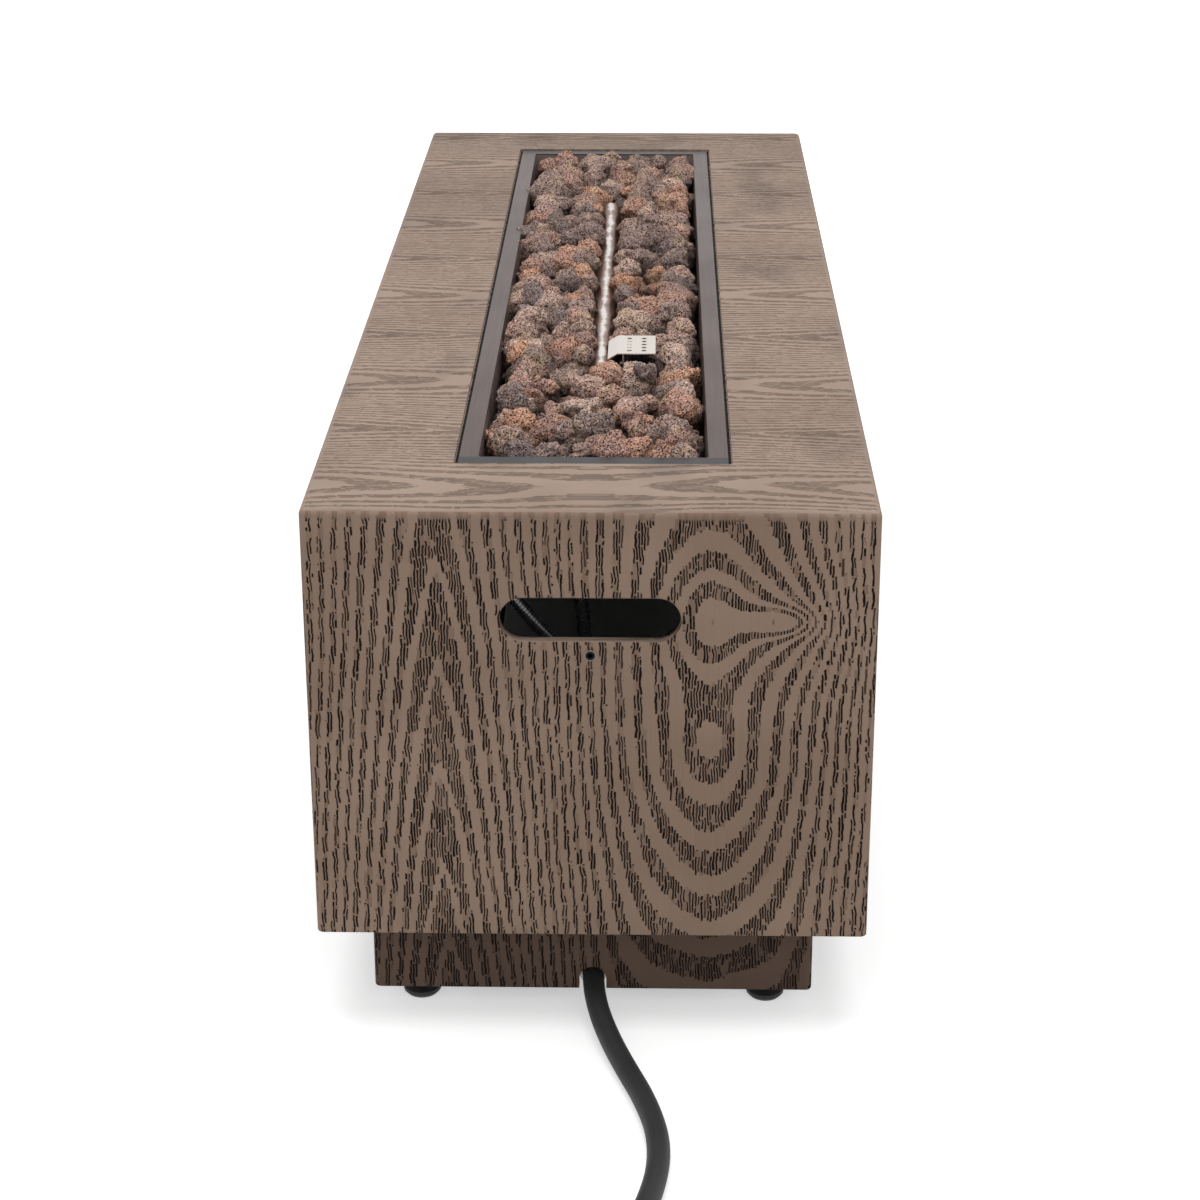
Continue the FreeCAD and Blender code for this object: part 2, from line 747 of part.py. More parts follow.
def burner():
    """The long burner tube with its ports and end caps, its cradles, and the feed below it."""
    x0, x1 = cutout_shift - burner_length / 2, cutout_shift + burner_length / 2
    tube = rod(burner_radius, (x0, 0, burner_z), (x1, 0, burner_z))
    hollow = rod(burner_radius - burner_wall, (x0 + burner_wall, 0, burner_z),
                 (x1 - burner_wall, 0, burner_z))
    tube = tube.cut(hollow)
    count = int((burner_length - 2 * port_pitch) / port_pitch)
    reach = burner_radius + 1
    tilt = math.radians(port_angle)
    for side in (-1, 1):
        for i in range(count + 1):
            x = cutout_shift - count * port_pitch / 2 + i * port_pitch
            tip = (x, side * reach * math.cos(tilt), burner_z + reach * math.sin(tilt))
            tube = tube.cut(rod(port_radius, (x, 0, burner_z), tip))
    feed_mouth = rod(feed_bore, (cutout_shift, 0, burner_z), (cutout_shift, 0, burner_z - burner_radius - 1))
    keep("burner_tube", tube.cut(feed_mouth))
    stands = []
    for side in (-1, 1):
        x = cutout_shift + side * cradle_offset
        plate = block(x - cradle_sheet / 2, x + cradle_sheet / 2, -cradle_half_width, cradle_half_width,
                      pan_floor_top, burner_z)
        foot = block(x - cradle_sheet / 2, x + cradle_foot, -cradle_half_width, cradle_half_width,
                     pan_floor_top, pan_floor_top + cradle_sheet)
        saddle = rod(burner_radius + fit_gap, (x - cradle_foot, 0, burner_z),
                     (x + cradle_foot + 1, 0, burner_z))
        stands.append(plate.fuse(foot).cut(saddle).removeSplitter())
    keep("burner_cradles", *stands)
    low = pan_floor_bottom - feed_flange_thickness - feed_spigot
    pipe = rod(feed_radius, (cutout_shift, 0, low), (cutout_shift, 0, burner_z))
    collar = rod(feed_flange_radius, (cutout_shift, 0, pan_floor_bottom - feed_flange_thickness),
                 (cutout_shift, 0, pan_floor_bottom))
    pipe = pipe.fuse(collar)
    pipe = pipe.cut(rod(feed_bore, (cutout_shift, 0, low - 1), (cutout_shift, 0, burner_z)))
    pipe = pipe.cut(rod(burner_radius + fit_gap, (x0, 0, burner_z), (x1, 0, burner_z)))
    keep("feed_pipe", pipe)
    mixer_top = pan_floor_bottom - feed_flange_thickness
    mixer_low = mixer_top - mixer_length
    mixer = rod(mixer_radius, (cutout_shift, 0, mixer_low), (cutout_shift, 0, mixer_top))
    mixer = mixer.cut(rod(feed_radius + fit_gap, (cutout_shift, 0, low), (cutout_shift, 0, mixer_top + 1)))
    mixer = mixer.cut(rod(feed_bore, (cutout_shift, 0, mixer_low - 1), (cutout_shift, 0, mixer_top + 1)))
    for i in range(mixer_slots):
        air = block(0, mixer_radius + 2, -mixer_slot_width / 2, mixer_slot_width / 2, 0, mixer_slot_height)
        air.rotate(V(0, 0, 0), Z_AXIS, 360 * (i + 0.5) / mixer_slots)
        air.translate(V(cutout_shift, 0, mixer_low + orifice_nozzle_height))
        mixer = mixer.cut(air)
    keep("air_mixer", mixer)
    hex_low = mixer_low - orifice_hex_height
    jet = hexagon(orifice_hex, (cutout_shift, 0, hex_low), (cutout_shift, 0, mixer_low))
    nozzle_top = mixer_low + orifice_nozzle_height
    nozzle = cone(orifice_nozzle_radius, orifice_tip_radius, (cutout_shift, 0, mixer_low),
                  (cutout_shift, 0, nozzle_top))
    jet = jet.fuse(nozzle)
    jet = jet.cut(rod(orifice_bore, (cutout_shift, 0, hex_low - 1), (cutout_shift, 0, nozzle_top + 1)))
    bore = rod(gas_bore, (cutout_shift, 0, hex_low - 1), (cutout_shift, 0, mixer_low - orifice_throat))
    jet = jet.cut(bore)
    keep("gas_orifice", jet)
    elbow_centre = V(cutout_shift, 0, hex_low - elbow_leg)
    keep("burner_elbow", elbow(elbow_centre, Z_AXIS, X_AXIS))
    return elbow_centre


def elbow(centre, first, second):
    """A forged elbow: two legs with a hexagon at the end of the second, bored through."""
    def leg(direction, length, radius):
        return Part.makeCylinder(radius, length, centre, direction)
    body = leg(first, elbow_leg, boss_radius).fuse(leg(second, elbow_leg, boss_radius))
    body = body.fuse(Part.makeSphere(boss_radius, centre))
    hex_start = centre + second * elbow_leg
    body = body.fuse(hexagon(elbow_hex, tuple(hex_start), tuple(hex_start + second * elbow_hex_length)))
    body = body.cut(leg(first, elbow_leg + 1, gas_bore))
    body = body.cut(leg(second, elbow_leg + elbow_hex_length + 1, gas_bore))
    return body.cut(Part.makeSphere(gas_bore, centre))


def igniter_group():
    """The perforated shield and its bracket, the spark electrode and the flame probe."""
    x0, x1 = igniter_x - shield_length / 2, igniter_x + shield_length / 2
    z = top_z + shield_above_top
    t = shield_sheet
    profile = [V(x0, shield_lip_y, z - shield_lip_drop), V(x0, shield_inner_y, z), V(x0, shield_outer_y, z),
               V(x0, shield_outer_y, z - t), V(x0, shield_inner_y + shield_fold_inset, z - t),
               V(x0, shield_lip_y + shield_lip_inset, z - shield_lip_drop - t)]
    plate = Part.Face(Part.makePolygon(profile + profile[:1])).extrude(V(x1 - x0, 0, 0))
    for y in shield_hole_rows:
        for i in range(shield_holes_per_row):
            x = igniter_x + (i - (shield_holes_per_row - 1) / 2) * shield_hole_pitch
            plate = plate.cut(rod(shield_hole_radius, (x, y, z - t - 1), (x, y, z + 1)))
    keep("igniter_shield", plate)
    b0, b1 = igniter_x - bracket_width / 2, igniter_x + bracket_width / 2
    s = bracket_sheet
    top = z - t
    upright = block(b0, b1, bracket_y, bracket_y + s, pan_floor_top, top)
    arm = block(b0, b1, bracket_y, bracket_y + bracket_top_leg, top - s, top)
    foot = block(b0 - bracket_foot_extra, b1 + bracket_foot_extra, bracket_y, bracket_y + bracket_foot_leg,
                 pan_floor_top, pan_floor_top + s)
    window = block(b0 + bracket_strip, b1 - bracket_strip, bracket_y - 1, bracket_y + s + 1,
                   pan_floor_top + bracket_window_rise, top - 2 * bracket_strip)
    bracket = upright.cut(window).fuse(arm).fuse(foot)
    for dx, radius in ((-electrode_spread, ceramic_radius), (electrode_spread, probe_radius)):
        x = igniter_x + dx
        bracket = bracket.cut(rod(radius + pass_clearance, (x, electrode_y, pan_floor_top - 1),
                                  (x, electrode_y, pan_floor_top + s + 1)))
    keep("igniter_bracket", bracket.removeSplitter())
    low = pan_floor_bottom - below_floor
    ex, px = igniter_x - electrode_spread, igniter_x + electrode_spread
    wire_hole = electrode_wire_radius + fit_gap
    ceramic = turned([(wire_hole, 0), (ceramic_radius, 0), (ceramic_radius, ceramic_length - ceramic_nose),
                      (electrode_wire_radius + ceramic_nose_wall, ceramic_length),
                      (wire_hole, ceramic_length)], (ex, electrode_y, low))
    collar = seat_collar(ceramic_radius, ex)
    keep("electrode_ceramic", ceramic.fuse(collar).removeSplitter())
    rise = low + ceramic_length + electrode_rise
    tip = (ex, electrode_y - electrode_reach, rise + electrode_tip_rise)
    wire_route = [(ex, electrode_y, low), (ex, electrode_y, rise), tip]
    wire = bent_rod(wire_route, electrode_wire_radius, electrode_bend)
    keep("spark_electrode", wire)
    probe = turned([(0, 0), (probe_radius, 0), (probe_radius, probe_length - probe_tip),
                    (probe_radius - probe_tip_draw, probe_length), (0, probe_length)], (px, electrode_y, low))
    keep("flame_probe", probe.fuse(seat_collar(probe_radius, px)).removeSplitter())


def seat_collar(radius, x):
    """The collar by which the electrode and the probe rest on the bracket's foot."""
    rim = radius + collar_rim
    return turned([(radius, 0), (rim, 0), (rim, collar_height), (radius, collar_height)],
                  (x, electrode_y, pan_floor_top + bracket_sheet))


def bend_path(points, fixed_radius=None, name=None):
    """Straight runs joined by tangent arcs. Each arc is as large as its two runs allow."""
    p = [V(*q) for q in points]
    edges, radii = [], []
    start = p[0]
    for i in range(1, len(p) - 1):
        before, after = p[i] - p[i - 1], p[i + 1] - p[i]
        half_turn = before.getAngle(after) / 2
        cut = bend_share * min(before.Length, after.Length)
        if fixed_radius is not None:
            cut = min(cut, fixed_radius * math.tan(half_turn))
        radius = cut / math.tan(half_turn)
        radii.append(radius)
        u, w = before / before.Length, after / after.Length
        a, b = p[i] - u * cut, p[i] + w * cut
        inward = w - u
        inward.normalize()
        middle = p[i] + inward * (radius / math.cos(half_turn) - radius)
        edges.append(Part.makeLine(start, a))
        edges.append(Part.Arc(a, middle, b).toShape())
        start = b
    edges.append(Part.makeLine(start, p[-1]))
    if name:
        print(name, "bend radii", " ".join("%.0f" % r for r in radii))
    return Part.Wire(edges)


def sweep(path, radius, name=None):
    """A round tube along a path, its volume checked against section times length."""
    first = path.OrderedEdges[0]
    start = first.valueAt(first.FirstParameter)
    along = first.tangentAt(first.FirstParameter)
    profile = Part.Wire([Part.makeCircle(radius, start, along)])
    solid = path.makePipeShell([profile], True, False)
    expected = math.pi * radius * radius * path.Length
    if name:
        print(name, "length %.0f, volume ratio %.4f, valid %s"
              % (path.Length, solid.Volume / expected, solid.isValid()))
    return solid


def bent_rod(points, radius, bend_radius, name=None):
    return sweep(bend_path(points, bend_radius), radius, name)


def clip(faces, normal, offset):
    """The part of a convex body, given as loops of points, where normal . p <= offset."""
    kept, cap = [], []
    for loop in faces:
        result = []
        for i, here in enumerate(loop):
            there = loop[(i + 1) % len(loop)]
            dh, dt = normal.dot(here) - offset, normal.dot(there) - offset
            if dh <= 0:
                result.append(here)
            if (dh < 0 < dt) or (dt < 0 < dh):
                meeting = here + (there - here) * (dh / (dh - dt))
                result.append(meeting)
                cap.append(meeting)
        if len(result) > 2:
            kept.append(result)
    if len(cap) < 3:
        return faces if kept else []
    unique = []
    for point in cap:
        if all((point - other).Length > 1e-6 for other in unique):
            unique.append(point)
    if len(unique) < 3:
        return kept
    middle = V(0, 0, 0)
    for point in unique:
        middle = middle + point
    middle = middle / len(unique)
    first = unique[0] - middle
    first.normalize()
    second = normal.cross(first)
    unique.sort(key=lambda q: math.atan2((q - middle).dot(second), (q - middle).dot(first)))
    kept.append(unique)
    return kept


def box_loops(x0, x1, y0, y1, z0, z1):
    c = [V(x, y, z) for z in (z0, z1) for x, y in ((x0, y0), (x1, y0), (x1, y1), (x0, y1))]
    return [[c[3], c[2], c[1], c[0]], [c[4], c[5], c[6], c[7]], [c[0], c[1], c[5], c[4]],
            [c[1], c[2], c[6], c[5]], [c[2], c[3], c[7], c[6]], [c[3], c[0], c[4], c[7]]]


def rock_places():
    """Where the rocks lie: (point, size) thrown at random, none nearer than their sizes allow."""
    dice = random.Random(rock_seed)
    margin = rock_spacing * rock_margin_share
    length = pan_mouth_x - pan_draft - margin
    width = pan_mouth_y - pan_draft - margin
    guard_x = shield_length / 2 + shield_room + margin / 2
    places = []
    for _ in range(rock_tries):
        x, y = dice.uniform(-length, length), dice.uniform(-width, width)
        size = rock_spacing * dice.choice(rock_size_shares)
        along_burner = abs(x) < burner_length / 2 + margin * 0.6
        if along_burner and abs(y) < rock_channel + margin:
            continue
        if abs(x - igniter_from_centre) < guard_x and 0 < y < electrode_y + electrode_room + margin:
            continue
        if all(math.hypot(x - q[0], y - q[1]) > (size + q[2]) / 2 for q in places):
            places.append((x, y, size))
    return [(V(cutout_shift + x, y, 0), size) for x, y, size in places]


def lava_rocks():
    """The rock bed: each rock is a convex lump between its neighbours, with flats in random directions."""
    dice = random.Random(rock_seed + 1)
    places = rock_places()
    floor = pan_floor_top
    wall_x, wall_y = pan_mouth_x - pan_draft - rock_gap, pan_mouth_y - pan_draft - rock_gap
    rocks = []
    for i, (centre, size) in enumerate(places):
        height = dice.uniform(rock_low, rock_high) * (0.85 + 0.15 * min(1.3, size / rock_spacing))
        x, y = centre.x - cutout_shift, centre.y
        beside_shield = abs(x - igniter_from_centre) < shield_length / 2 + size
        if beside_shield and -size < y < shield_outer_y + size:
            height = min(height, top_z + shield_above_top - shield_sheet - rock_gap - floor)
        body = box_loops(centre.x - size, centre.x + size, y - size, y + size, floor, floor + height)
        walls = [(X_AXIS, cutout_shift + wall_x), (X_AXIS * -1, wall_x - cutout_shift),
                 (Y_AXIS, wall_y), (Y_AXIS * -1, wall_y)]
        for sx, sy in ((1, 1), (1, -1), (-1, 1), (-1, -1)):
            slant = V(sx, sy, 0) * math.sqrt(0.5)
            reach = (wall_x + wall_y) * math.sqrt(0.5) - pan_corner * (math.sqrt(2) - 1)
            walls.append((slant, reach + cutout_shift * slant.x))
        if abs(x) > burner_length / 2 + burner_room:
            if abs(y) < rock_channel + size:
                out = math.copysign(1, x)
                walls.append((X_AXIS * -out, -(burner_length / 2 + burner_room) - out * cutout_shift))
        else:
            side = math.copysign(1, y)
            walls.append((Y_AXIS * -side, -rock_channel))
        guard = shield_length / 2 + shield_room
        if abs(x - igniter_from_centre) < guard + size and 0 < y < electrode_y + electrode_room + size:
            if x > igniter_from_centre + guard:
                walls.append((X_AXIS * -1, -(igniter_x + guard)))
            elif x < igniter_from_centre - guard:
                walls.append((X_AXIS, igniter_x - guard))
            else:
                walls.append((Y_AXIS * -1, -(electrode_y + electrode_room)))
        for j, (other, other_size) in enumerate(places):
            apart = other - centre
            if i == j or apart.Length > rock_reach_share * rock_spacing:
                continue
            way = apart / apart.Length
            share = size / (size + other_size)
            walls.append((way, way.dot(centre) + apart.Length * share - rock_gap))
        for normal, offset in walls:
            body = clip(body, normal, offset)
        middle = V(centre.x, centre.y, floor + height * 0.46)
        across = size * rock_waist_share
        for k in range(rock_facets):
            up = 1 - 2 * (k + 0.5) / rock_facets
            turn = dice.uniform(0, 2 * math.pi)
            flat = math.sqrt(1 - up * up)
            way = V(flat * math.cos(turn), flat * math.sin(turn), up)
            reach = math.sqrt((across * flat) ** 2 + (height * 0.5 * up) ** 2) * dice.uniform(0.86, 1.06)
            offset = way.dot(middle) + reach
            if max(way.dot(q) - offset for loop in body for q in loop) > 1.0:
                body = clip(body, way, offset)
        rocks.append(solid_of(body))
    triangles = sum(len(f.OuterWire.Vertexes) - 2 for r in rocks for f in r.Faces)
    print("rocks", len(rocks), "triangles", triangles)
    keep("lava_rocks", *rocks)


def solid_of(loops):
    faces = [Part.Face(Part.makePolygon(loop + loop[:1])) for loop in loops]
    shell = Part.makeShell(faces)
    shell.sewShape()
    solid = Part.makeSolid(shell)
    if solid.Volume < 0:
        solid.reverse()
    return solid


def control_niche():
    """The pressed steel niche that the knob and the igniter button sit in, and its four flush screws."""
    flange = side_block((panel_x, panel_z), niche_length / 2 + niche_flange, niche_height / 2 + niche_flange,
                        niche_corner, niche_front, niche_front + niche_sheet)
    cup = side_block((panel_x, panel_z), niche_length / 2 + niche_sheet, niche_height / 2 + niche_sheet,
                     niche_corner, niche_front, niche_back)
    hollow = side_block((panel_x, panel_z), niche_length / 2, niche_height / 2, niche_corner - niche_sheet,
                        niche_front - 1, niche_floor)
    niche = flange.fuse(cup).cut(hollow)
    for x, radius in ((knob_x, stem_radius + plate_hole_clearance),
                      (button_x, module_radius + screw_clearance)):
        niche = niche.cut(rod(radius, (x, niche_floor - 1, panel_z), (x, niche_back + 1, panel_z)))
    screws = []
    for x, z in niche_screw_places():
        deep = niche_front + niche_sheet
        sink = cone(screw_head_radius, screw_radius, (x, niche_front, z), (x, deep, z))
        niche = niche.cut(sink).cut(rod(screw_radius, (x, niche_front, z), (x, deep + 1, z)))
        head = cone(screw_head_radius - screw_clearance, screw_radius - screw_clearance, (x, niche_front, z),
                    (x, deep, z))
        shank = rod(screw_radius - screw_clearance, (x, deep, z), (x, deep + screw_depth - 1, z))
        screws.append(head.fuse(shank))
    for x in valve_screw_places():
        niche = niche.cut(rod(valve_screw_radius + screw_clearance, (x, niche_floor - 1, panel_z),
                              (x, niche_back + 1, panel_z)))
        shank = rod(valve_screw_radius, (x, niche_floor, panel_z),
                    (x, niche_back + valve_screw_depth, panel_z))
        head = rod(valve_screw_head_radius, (x, niche_floor - valve_screw_head_height, panel_z),
                   (x, niche_floor, panel_z))
        screws.append(shank.fuse(head))
    keep("control_niche", niche)
    keep("niche_screws", *screws)


def valve_screw_places():
    """The two screws that hold the valve's bonnet to the niche, beside the knob's stem."""
    reach = bonnet_radius - valve_screw_inset
    return [knob_x - reach, knob_x + reach]


def gas_valve():
    """The valve body with its bores, the plug that turns in it, and the stem that slides in the plug."""
    y0 = niche_back
    y1 = y0 + bonnet_length
    y2 = y1 + valve_depth
    x, z = knob_x, panel_z
    bonnet = rod(bonnet_radius, (x, y0, z), (x, y1, z))
    core = block(x - valve_half, x + valve_half, y1, y2, z - valve_half, z + valve_half)
    core = core.makeChamfer(valve_chamfer, edges_where(core, lambda c, e: abs(c.y - (y1 + y2) / 2) < 1))
    middle = (y1 + y2) / 2
    low, high = z - valve_half - boss_length, z + valve_half + boss_length
    body = bonnet.fuse(core).fuse(rod(boss_radius, (x, middle, low), (x, middle, high)))
    body = body.cut(rod(gas_bore, (x, middle, low - 1), (x, middle, high + 1)))
    plug0 = y1 + plug_front_gap
    plug1 = plug0 + plug_length
    body = body.cut(cone(plug_front_radius, plug_back_radius, (x, plug0, z), (x, plug1, z)))
    body = body.cut(rod(stem_radius + stem_clearance, (x, y0 - 1, z), (x, plug0 + 1, z)))
    for sx in valve_screw_places():
        body = body.cut(rod(valve_screw_radius + screw_clearance, (sx, y0 - 1, z),
                            (sx, y0 + valve_screw_depth + valve_screw_room, z)))
    keep("valve_body", body)
    plug = cone(plug_front_radius - plug_clearance, plug_back_radius - plug_clearance,
                (x, plug0 + plug_end_gap, z), (x, plug1 - plug_end_gap, z))
    plug = plug.cut(rod(plug_port_radius, (x, middle, z + 1), (x, middle, z - plug_front_radius - 1)))
    hole_end = plug0 + stem_in_plug + knob_travel + 1
    plug = plug.cut(d_bar(stem_radius + stem_clearance, stem_flat + stem_clearance, plug0 - 1, hole_end))
    keep("valve_plug", plug)
    knob_back = niche_floor - knob_gap
    knob_front = knob_back - knob_height
    stem_front = knob_front + knob_wall + stem_end_gap
    keep("valve_stem", d_bar(stem_radius, stem_flat, stem_front, plug0 + stem_in_plug))
    knob = turned([(0, 0), (knob_base_radius, 0), (knob_base_radius, knob_skirt_straight),
                   (knob_radius, knob_skirt), (knob_radius - knob_taper, knob_height - knob_edge),
                   (knob_radius - knob_crown, knob_height), (0, knob_height)],
                  (x, knob_back, z), V(0, -1, 0))
    hollow = rod(knob_radius - knob_taper - knob_wall, (x, knob_back + 1, z), (x, knob_front + knob_wall, z))
    hub = rod(knob_hub_radius, (x, knob_back, z), (x, knob_front + knob_wall, z))
    knob = knob.cut(hollow).fuse(hub)
    for i in range(knob_grooves):
        turn = 2 * math.pi * (i + 0.5) / knob_grooves
        reach = knob_radius + knob_groove_out
        gx, gz = x + reach * math.cos(turn), z + reach * math.sin(turn)
        knob = knob.cut(rod(knob_groove_radius, (gx, knob_back - knob_skirt, gz), (gx, knob_front - 1, gz)))
    knob = knob.cut(d_bar(stem_radius + stem_grip, stem_flat + stem_grip, stem_front, knob_back + 1))
    pointer = block(x - knob_pointer_width / 2, x + knob_pointer_width / 2, knob_front - 1,
                    knob_front + knob_pointer_depth, z + knob_pointer_from,
                    z + knob_radius - knob_pointer_inset)
    keep("control_knob", knob.cut(pointer))


def d_bar(radius, flat, y0, y1):
    """A bar with one flat along its length, on the knob's axis."""
    bar = rod(radius, (knob_x, y0, panel_z), (knob_x, y1, panel_z))
    cut = block(knob_x - radius - 1, knob_x + radius + 1, y0 - 1, y1 + 1,
                panel_z + flat, panel_z + radius + 1)
    return bar.cut(cut)


def spark_module():
    """The battery igniter: a barrel through the niche with a lock nut behind, a cell, and the push button."""
    x, z = button_x, panel_z
    front = niche_floor - module_flange_height
    back = niche_floor + module_length
    barrel = rod(module_radius, (x, niche_floor, z), (x, back, z))
    flange = rod(module_flange_radius, (x, front, z), (x, niche_floor, z))
    body = barrel.fuse(flange)
    bore = button_radius + button_clearance
    well = niche_floor + button_well
    cell_back = back - module_back_wall
    body = body.cut(rod(bore, (x, front - 1, z), (x, well, z)))
    body = body.cut(rod(battery_radius + button_clearance, (x, well - 1, z), (x, cell_back, z)))
    tabs = [block(x - terminal_width / 2, x + terminal_width / 2, back, back + terminal_length,
                  z + dz - terminal_sheet / 2, z + dz + terminal_sheet / 2)
            for dz in (-terminal_spread, terminal_spread)]
    keep("igniter_module", body)
    keep("igniter_terminals", *tabs)
    nut = hexagon(module_nut_flats, (x, niche_back, z), (x, niche_back + module_nut_height, z),
                  module_radius + screw_clearance)
    keep("igniter_nut", nut)
    cell_front = cell_back - battery_length
    cell = rod(battery_radius, (x, cell_front, z), (x, cell_back, z))
    pip = rod(battery_pip_radius, (x, cell_front - battery_pip_height, z), (x, cell_front, z))
    keep("igniter_battery", cell.fuse(pip))
    button_front = front - button_height + button_travel
    button_back = button_front + button_height
    cap = turned([(0, 0), (button_radius, 0), (button_radius, button_height - button_edge),
                  (button_radius - button_edge, button_height), (0, button_height)],
                 (x, button_back, z), V(0, -1, 0))
    cap = cap.fuse(rod(button_stem_radius, (x, button_back, z), (x, button_back + button_plug, z)))
    keep("igniter_button", cap.removeSplitter())


def flare_nut(point, way):
    """A flare nut on the end of a gas line: it starts at the fitting's face and lies along the line."""
    return hexagon(flare_nut_flats, tuple(point), tuple(point + way * flare_nut_length),
                   flex_radius + fit_gap)


def gas_lines(burner_elbow_centre):
    """The inlet elbow, the two flexible gas lines, their nuts, the spark lead and the probe's line."""
    valve_y = niche_back + bonnet_length + valve_depth / 2
    valve_top = V(knob_x, valve_y, panel_z + valve_half + boss_length)
    valve_low = V(knob_x, valve_y, panel_z - valve_half - boss_length)
    inlet = V(plinth_x - plinth_wall - inlet_inset, 0, hose_z)
    inlet_start = inlet + Z_AXIS * (elbow_leg + elbow_hex_length)
    elbow_end = burner_elbow_centre + X_AXIS * (elbow_leg + elbow_hex_length)
    keep("inlet_elbow", elbow(inlet, X_AXIS, Z_AXIS))
    keep("flare_nuts", flare_nut(inlet_start, Z_AXIS), flare_nut(valve_low, Z_AXIS * -1),
         flare_nut(valve_top, Z_AXIS), flare_nut(elbow_end, X_AXIS))
    high = ceiling_z - 48
    route = [inlet_start, V(inlet.x, 0, high - 45), V(inlet.x, -44, high), V(inlet.x - 3, -106, high + 1),
             V(inlet.x - 14, -164, high - 14), V(inlet.x - 44, -200, high - 38),
             V(inlet.x - 108, -206, high - 48), V(knob_x, valve_y, high - 66), valve_top]
    keep("inlet_line", sweep(bend_path(route, None, "inlet line"), flex_radius, "inlet line"))
    near = half_x - shell_wall - 46
    seen = slot_z - 5
    route = [valve_low, V(knob_x, valve_y, valve_low.z - 66), V(knob_x + 32, valve_y, valve_low.z - 112),
             V(knob_x + 102, valve_y, valve_low.z - 122), V(near - 46, -197, valve_low.z - 94),
             V(near - 6, -202, valve_low.z - 20), V(near, -178, seen - 40), V(near, -162, seen + 24),
             V(near, -146, seen + 45), V(near, -123, seen + 53), V(near, -100, seen + 45),
             V(near, -24, seen - 58), V(near, 22, seen - 56), V(near - 3, 70, seen - 40),
             V(near - 16, 102, seen - 20), V(near - 68, 112, seen - 2), V(near - 150, 102, seen + 4),
             V(near - 258, 72, seen - 2), V(near - 390, 34, elbow_end.z + 9),
             V(elbow_end.x + 92, 0, elbow_end.z), elbow_end]
    keep("burner_line", sweep(bend_path(route, None, "burner line"), flex_radius, "burner line"))
    low = pan_floor_bottom - below_floor
    back = niche_floor + module_length + terminal_length
    ex, px = igniter_x - electrode_spread, igniter_x + electrode_spread
    tab_z = panel_z + terminal_spread
    route = [V(button_x, back, tab_z), V(button_x, back + 24, tab_z),
             V(button_x - 30, back + 60, panel_z + 40), V(button_x - 90, back + 100, low - 40),
             V(ex + 60, electrode_y - 30, low - 30), V(ex, electrode_y, low - 26), V(ex, electrode_y, low)]
    keep("spark_lead", sweep(bend_path(route), lead_radius, "spark lead"))
    valve_back = niche_back + bonnet_length + valve_depth
    route = [V(knob_x, valve_back, panel_z), V(knob_x, valve_back + 26, panel_z),
             V(knob_x - 20, valve_back + 60, panel_z + 40), V(knob_x - 60, valve_back + 110, low - 50),
             V(px + 30, electrode_y - 8, low - 46), V(px, electrode_y, low - 30), V(px, electrode_y, low)]
    keep("probe_line", sweep(bend_path(route), probe_line_radius, "probe line"))
    return inlet


def hose_entry(inlet):
    """The crimped end of the hose on the inlet elbow, behind the arch. Gives where the hose starts."""
    face = inlet.x + elbow_leg
    crimp = rod(ferrule_radius, (face, 0, hose_z), (face + ferrule_length, 0, hose_z))
    end = face + ferrule_length + 1
    crimp = crimp.cut(rod(hose_radius + fit_gap, (face + ferrule_web, 0, hose_z), (end, 0, hose_z)))
    keep("inlet_ferrule", crimp)
    return V(face + ferrule_web, 0, hose_z)


# The hose from the plinth to the coil, point by point, on the floor after the first few
HOSE_ROUTE = [V(668, 0, 26), V(706, 6, 19.5), V(742, 17, 12.5), V(784, 31.5, 10), V(836, 50, 10),
              V(892, 62, 10), V(950, 60, 10), V(1020, 42, 10)]

# The end of the hose from the coil to the regulator: over the incoming hose, down to the floor and round
TAIL_ROUTE = [V(1059, 52, 36.5), V(1054, 8, 36), V(1052, -38, 25), V(1062, -84, 12.5), V(1089, -124, 11),
              V(1129, -149, 21.5), V(1173, -158, 21.5)]


def coil_point(turn):
    """A point on the coil and its direction. Turns count from the hose's entry: in below, out above."""
    inward, climb = coil_turns_inward, coil_climb
    base = hose_radius + tie_thickness + tie_clearance
    if turn <= inward:
        radius, rate = coil_outer - coil_pitch * turn, -coil_pitch
        height, slope = 0.0, 0.0
    elif turn >= inward + climb:
        past = turn - inward - climb
        radius, rate = coil_outer - coil_pitch * (inward - past), coil_pitch
        height, slope = coil_rise, 0.0
    else:
        share = (turn - inward) / climb
        swing = coil_pitch * climb / math.pi
        radius = coil_outer - coil_pitch * inward - swing * math.sin(math.pi * share)
        rate = -coil_pitch * math.cos(math.pi * share)
        height = coil_rise * (1 - math.cos(math.pi * share)) / 2
        slope = coil_rise * math.pi * math.sin(math.pi * share) / 2 / climb
    angle = math.radians(coil_start_angle) + 2 * math.pi * turn
    c, s = math.cos(angle), math.sin(angle)
    spot = V(coil_centre[0] + radius * c, coil_centre[1] + radius * s, base + height)
    way = V(rate * c - 2 * math.pi * radius * s, rate * s + 2 * math.pi * radius * c, slope)
    way.normalize()
    return spot, way


def biarc(p0, t0, p1, t1):
    """Two arcs that leave p0 along t0 and reach p1 along t1."""
    v = p1 - p0
    t = t0 + t1
    k = 2 * (1 - t0.dot(t1))
    vt = v.dot(t)
    d = (-vt + math.sqrt(vt * vt + k * v.dot(v))) / k
    joint = (p0 + p1 + (t0 - t1) * d) / 2
    return [arc_from(p0, t0, joint), arc_from(p1, t1 * -1, joint, backwards=True)]


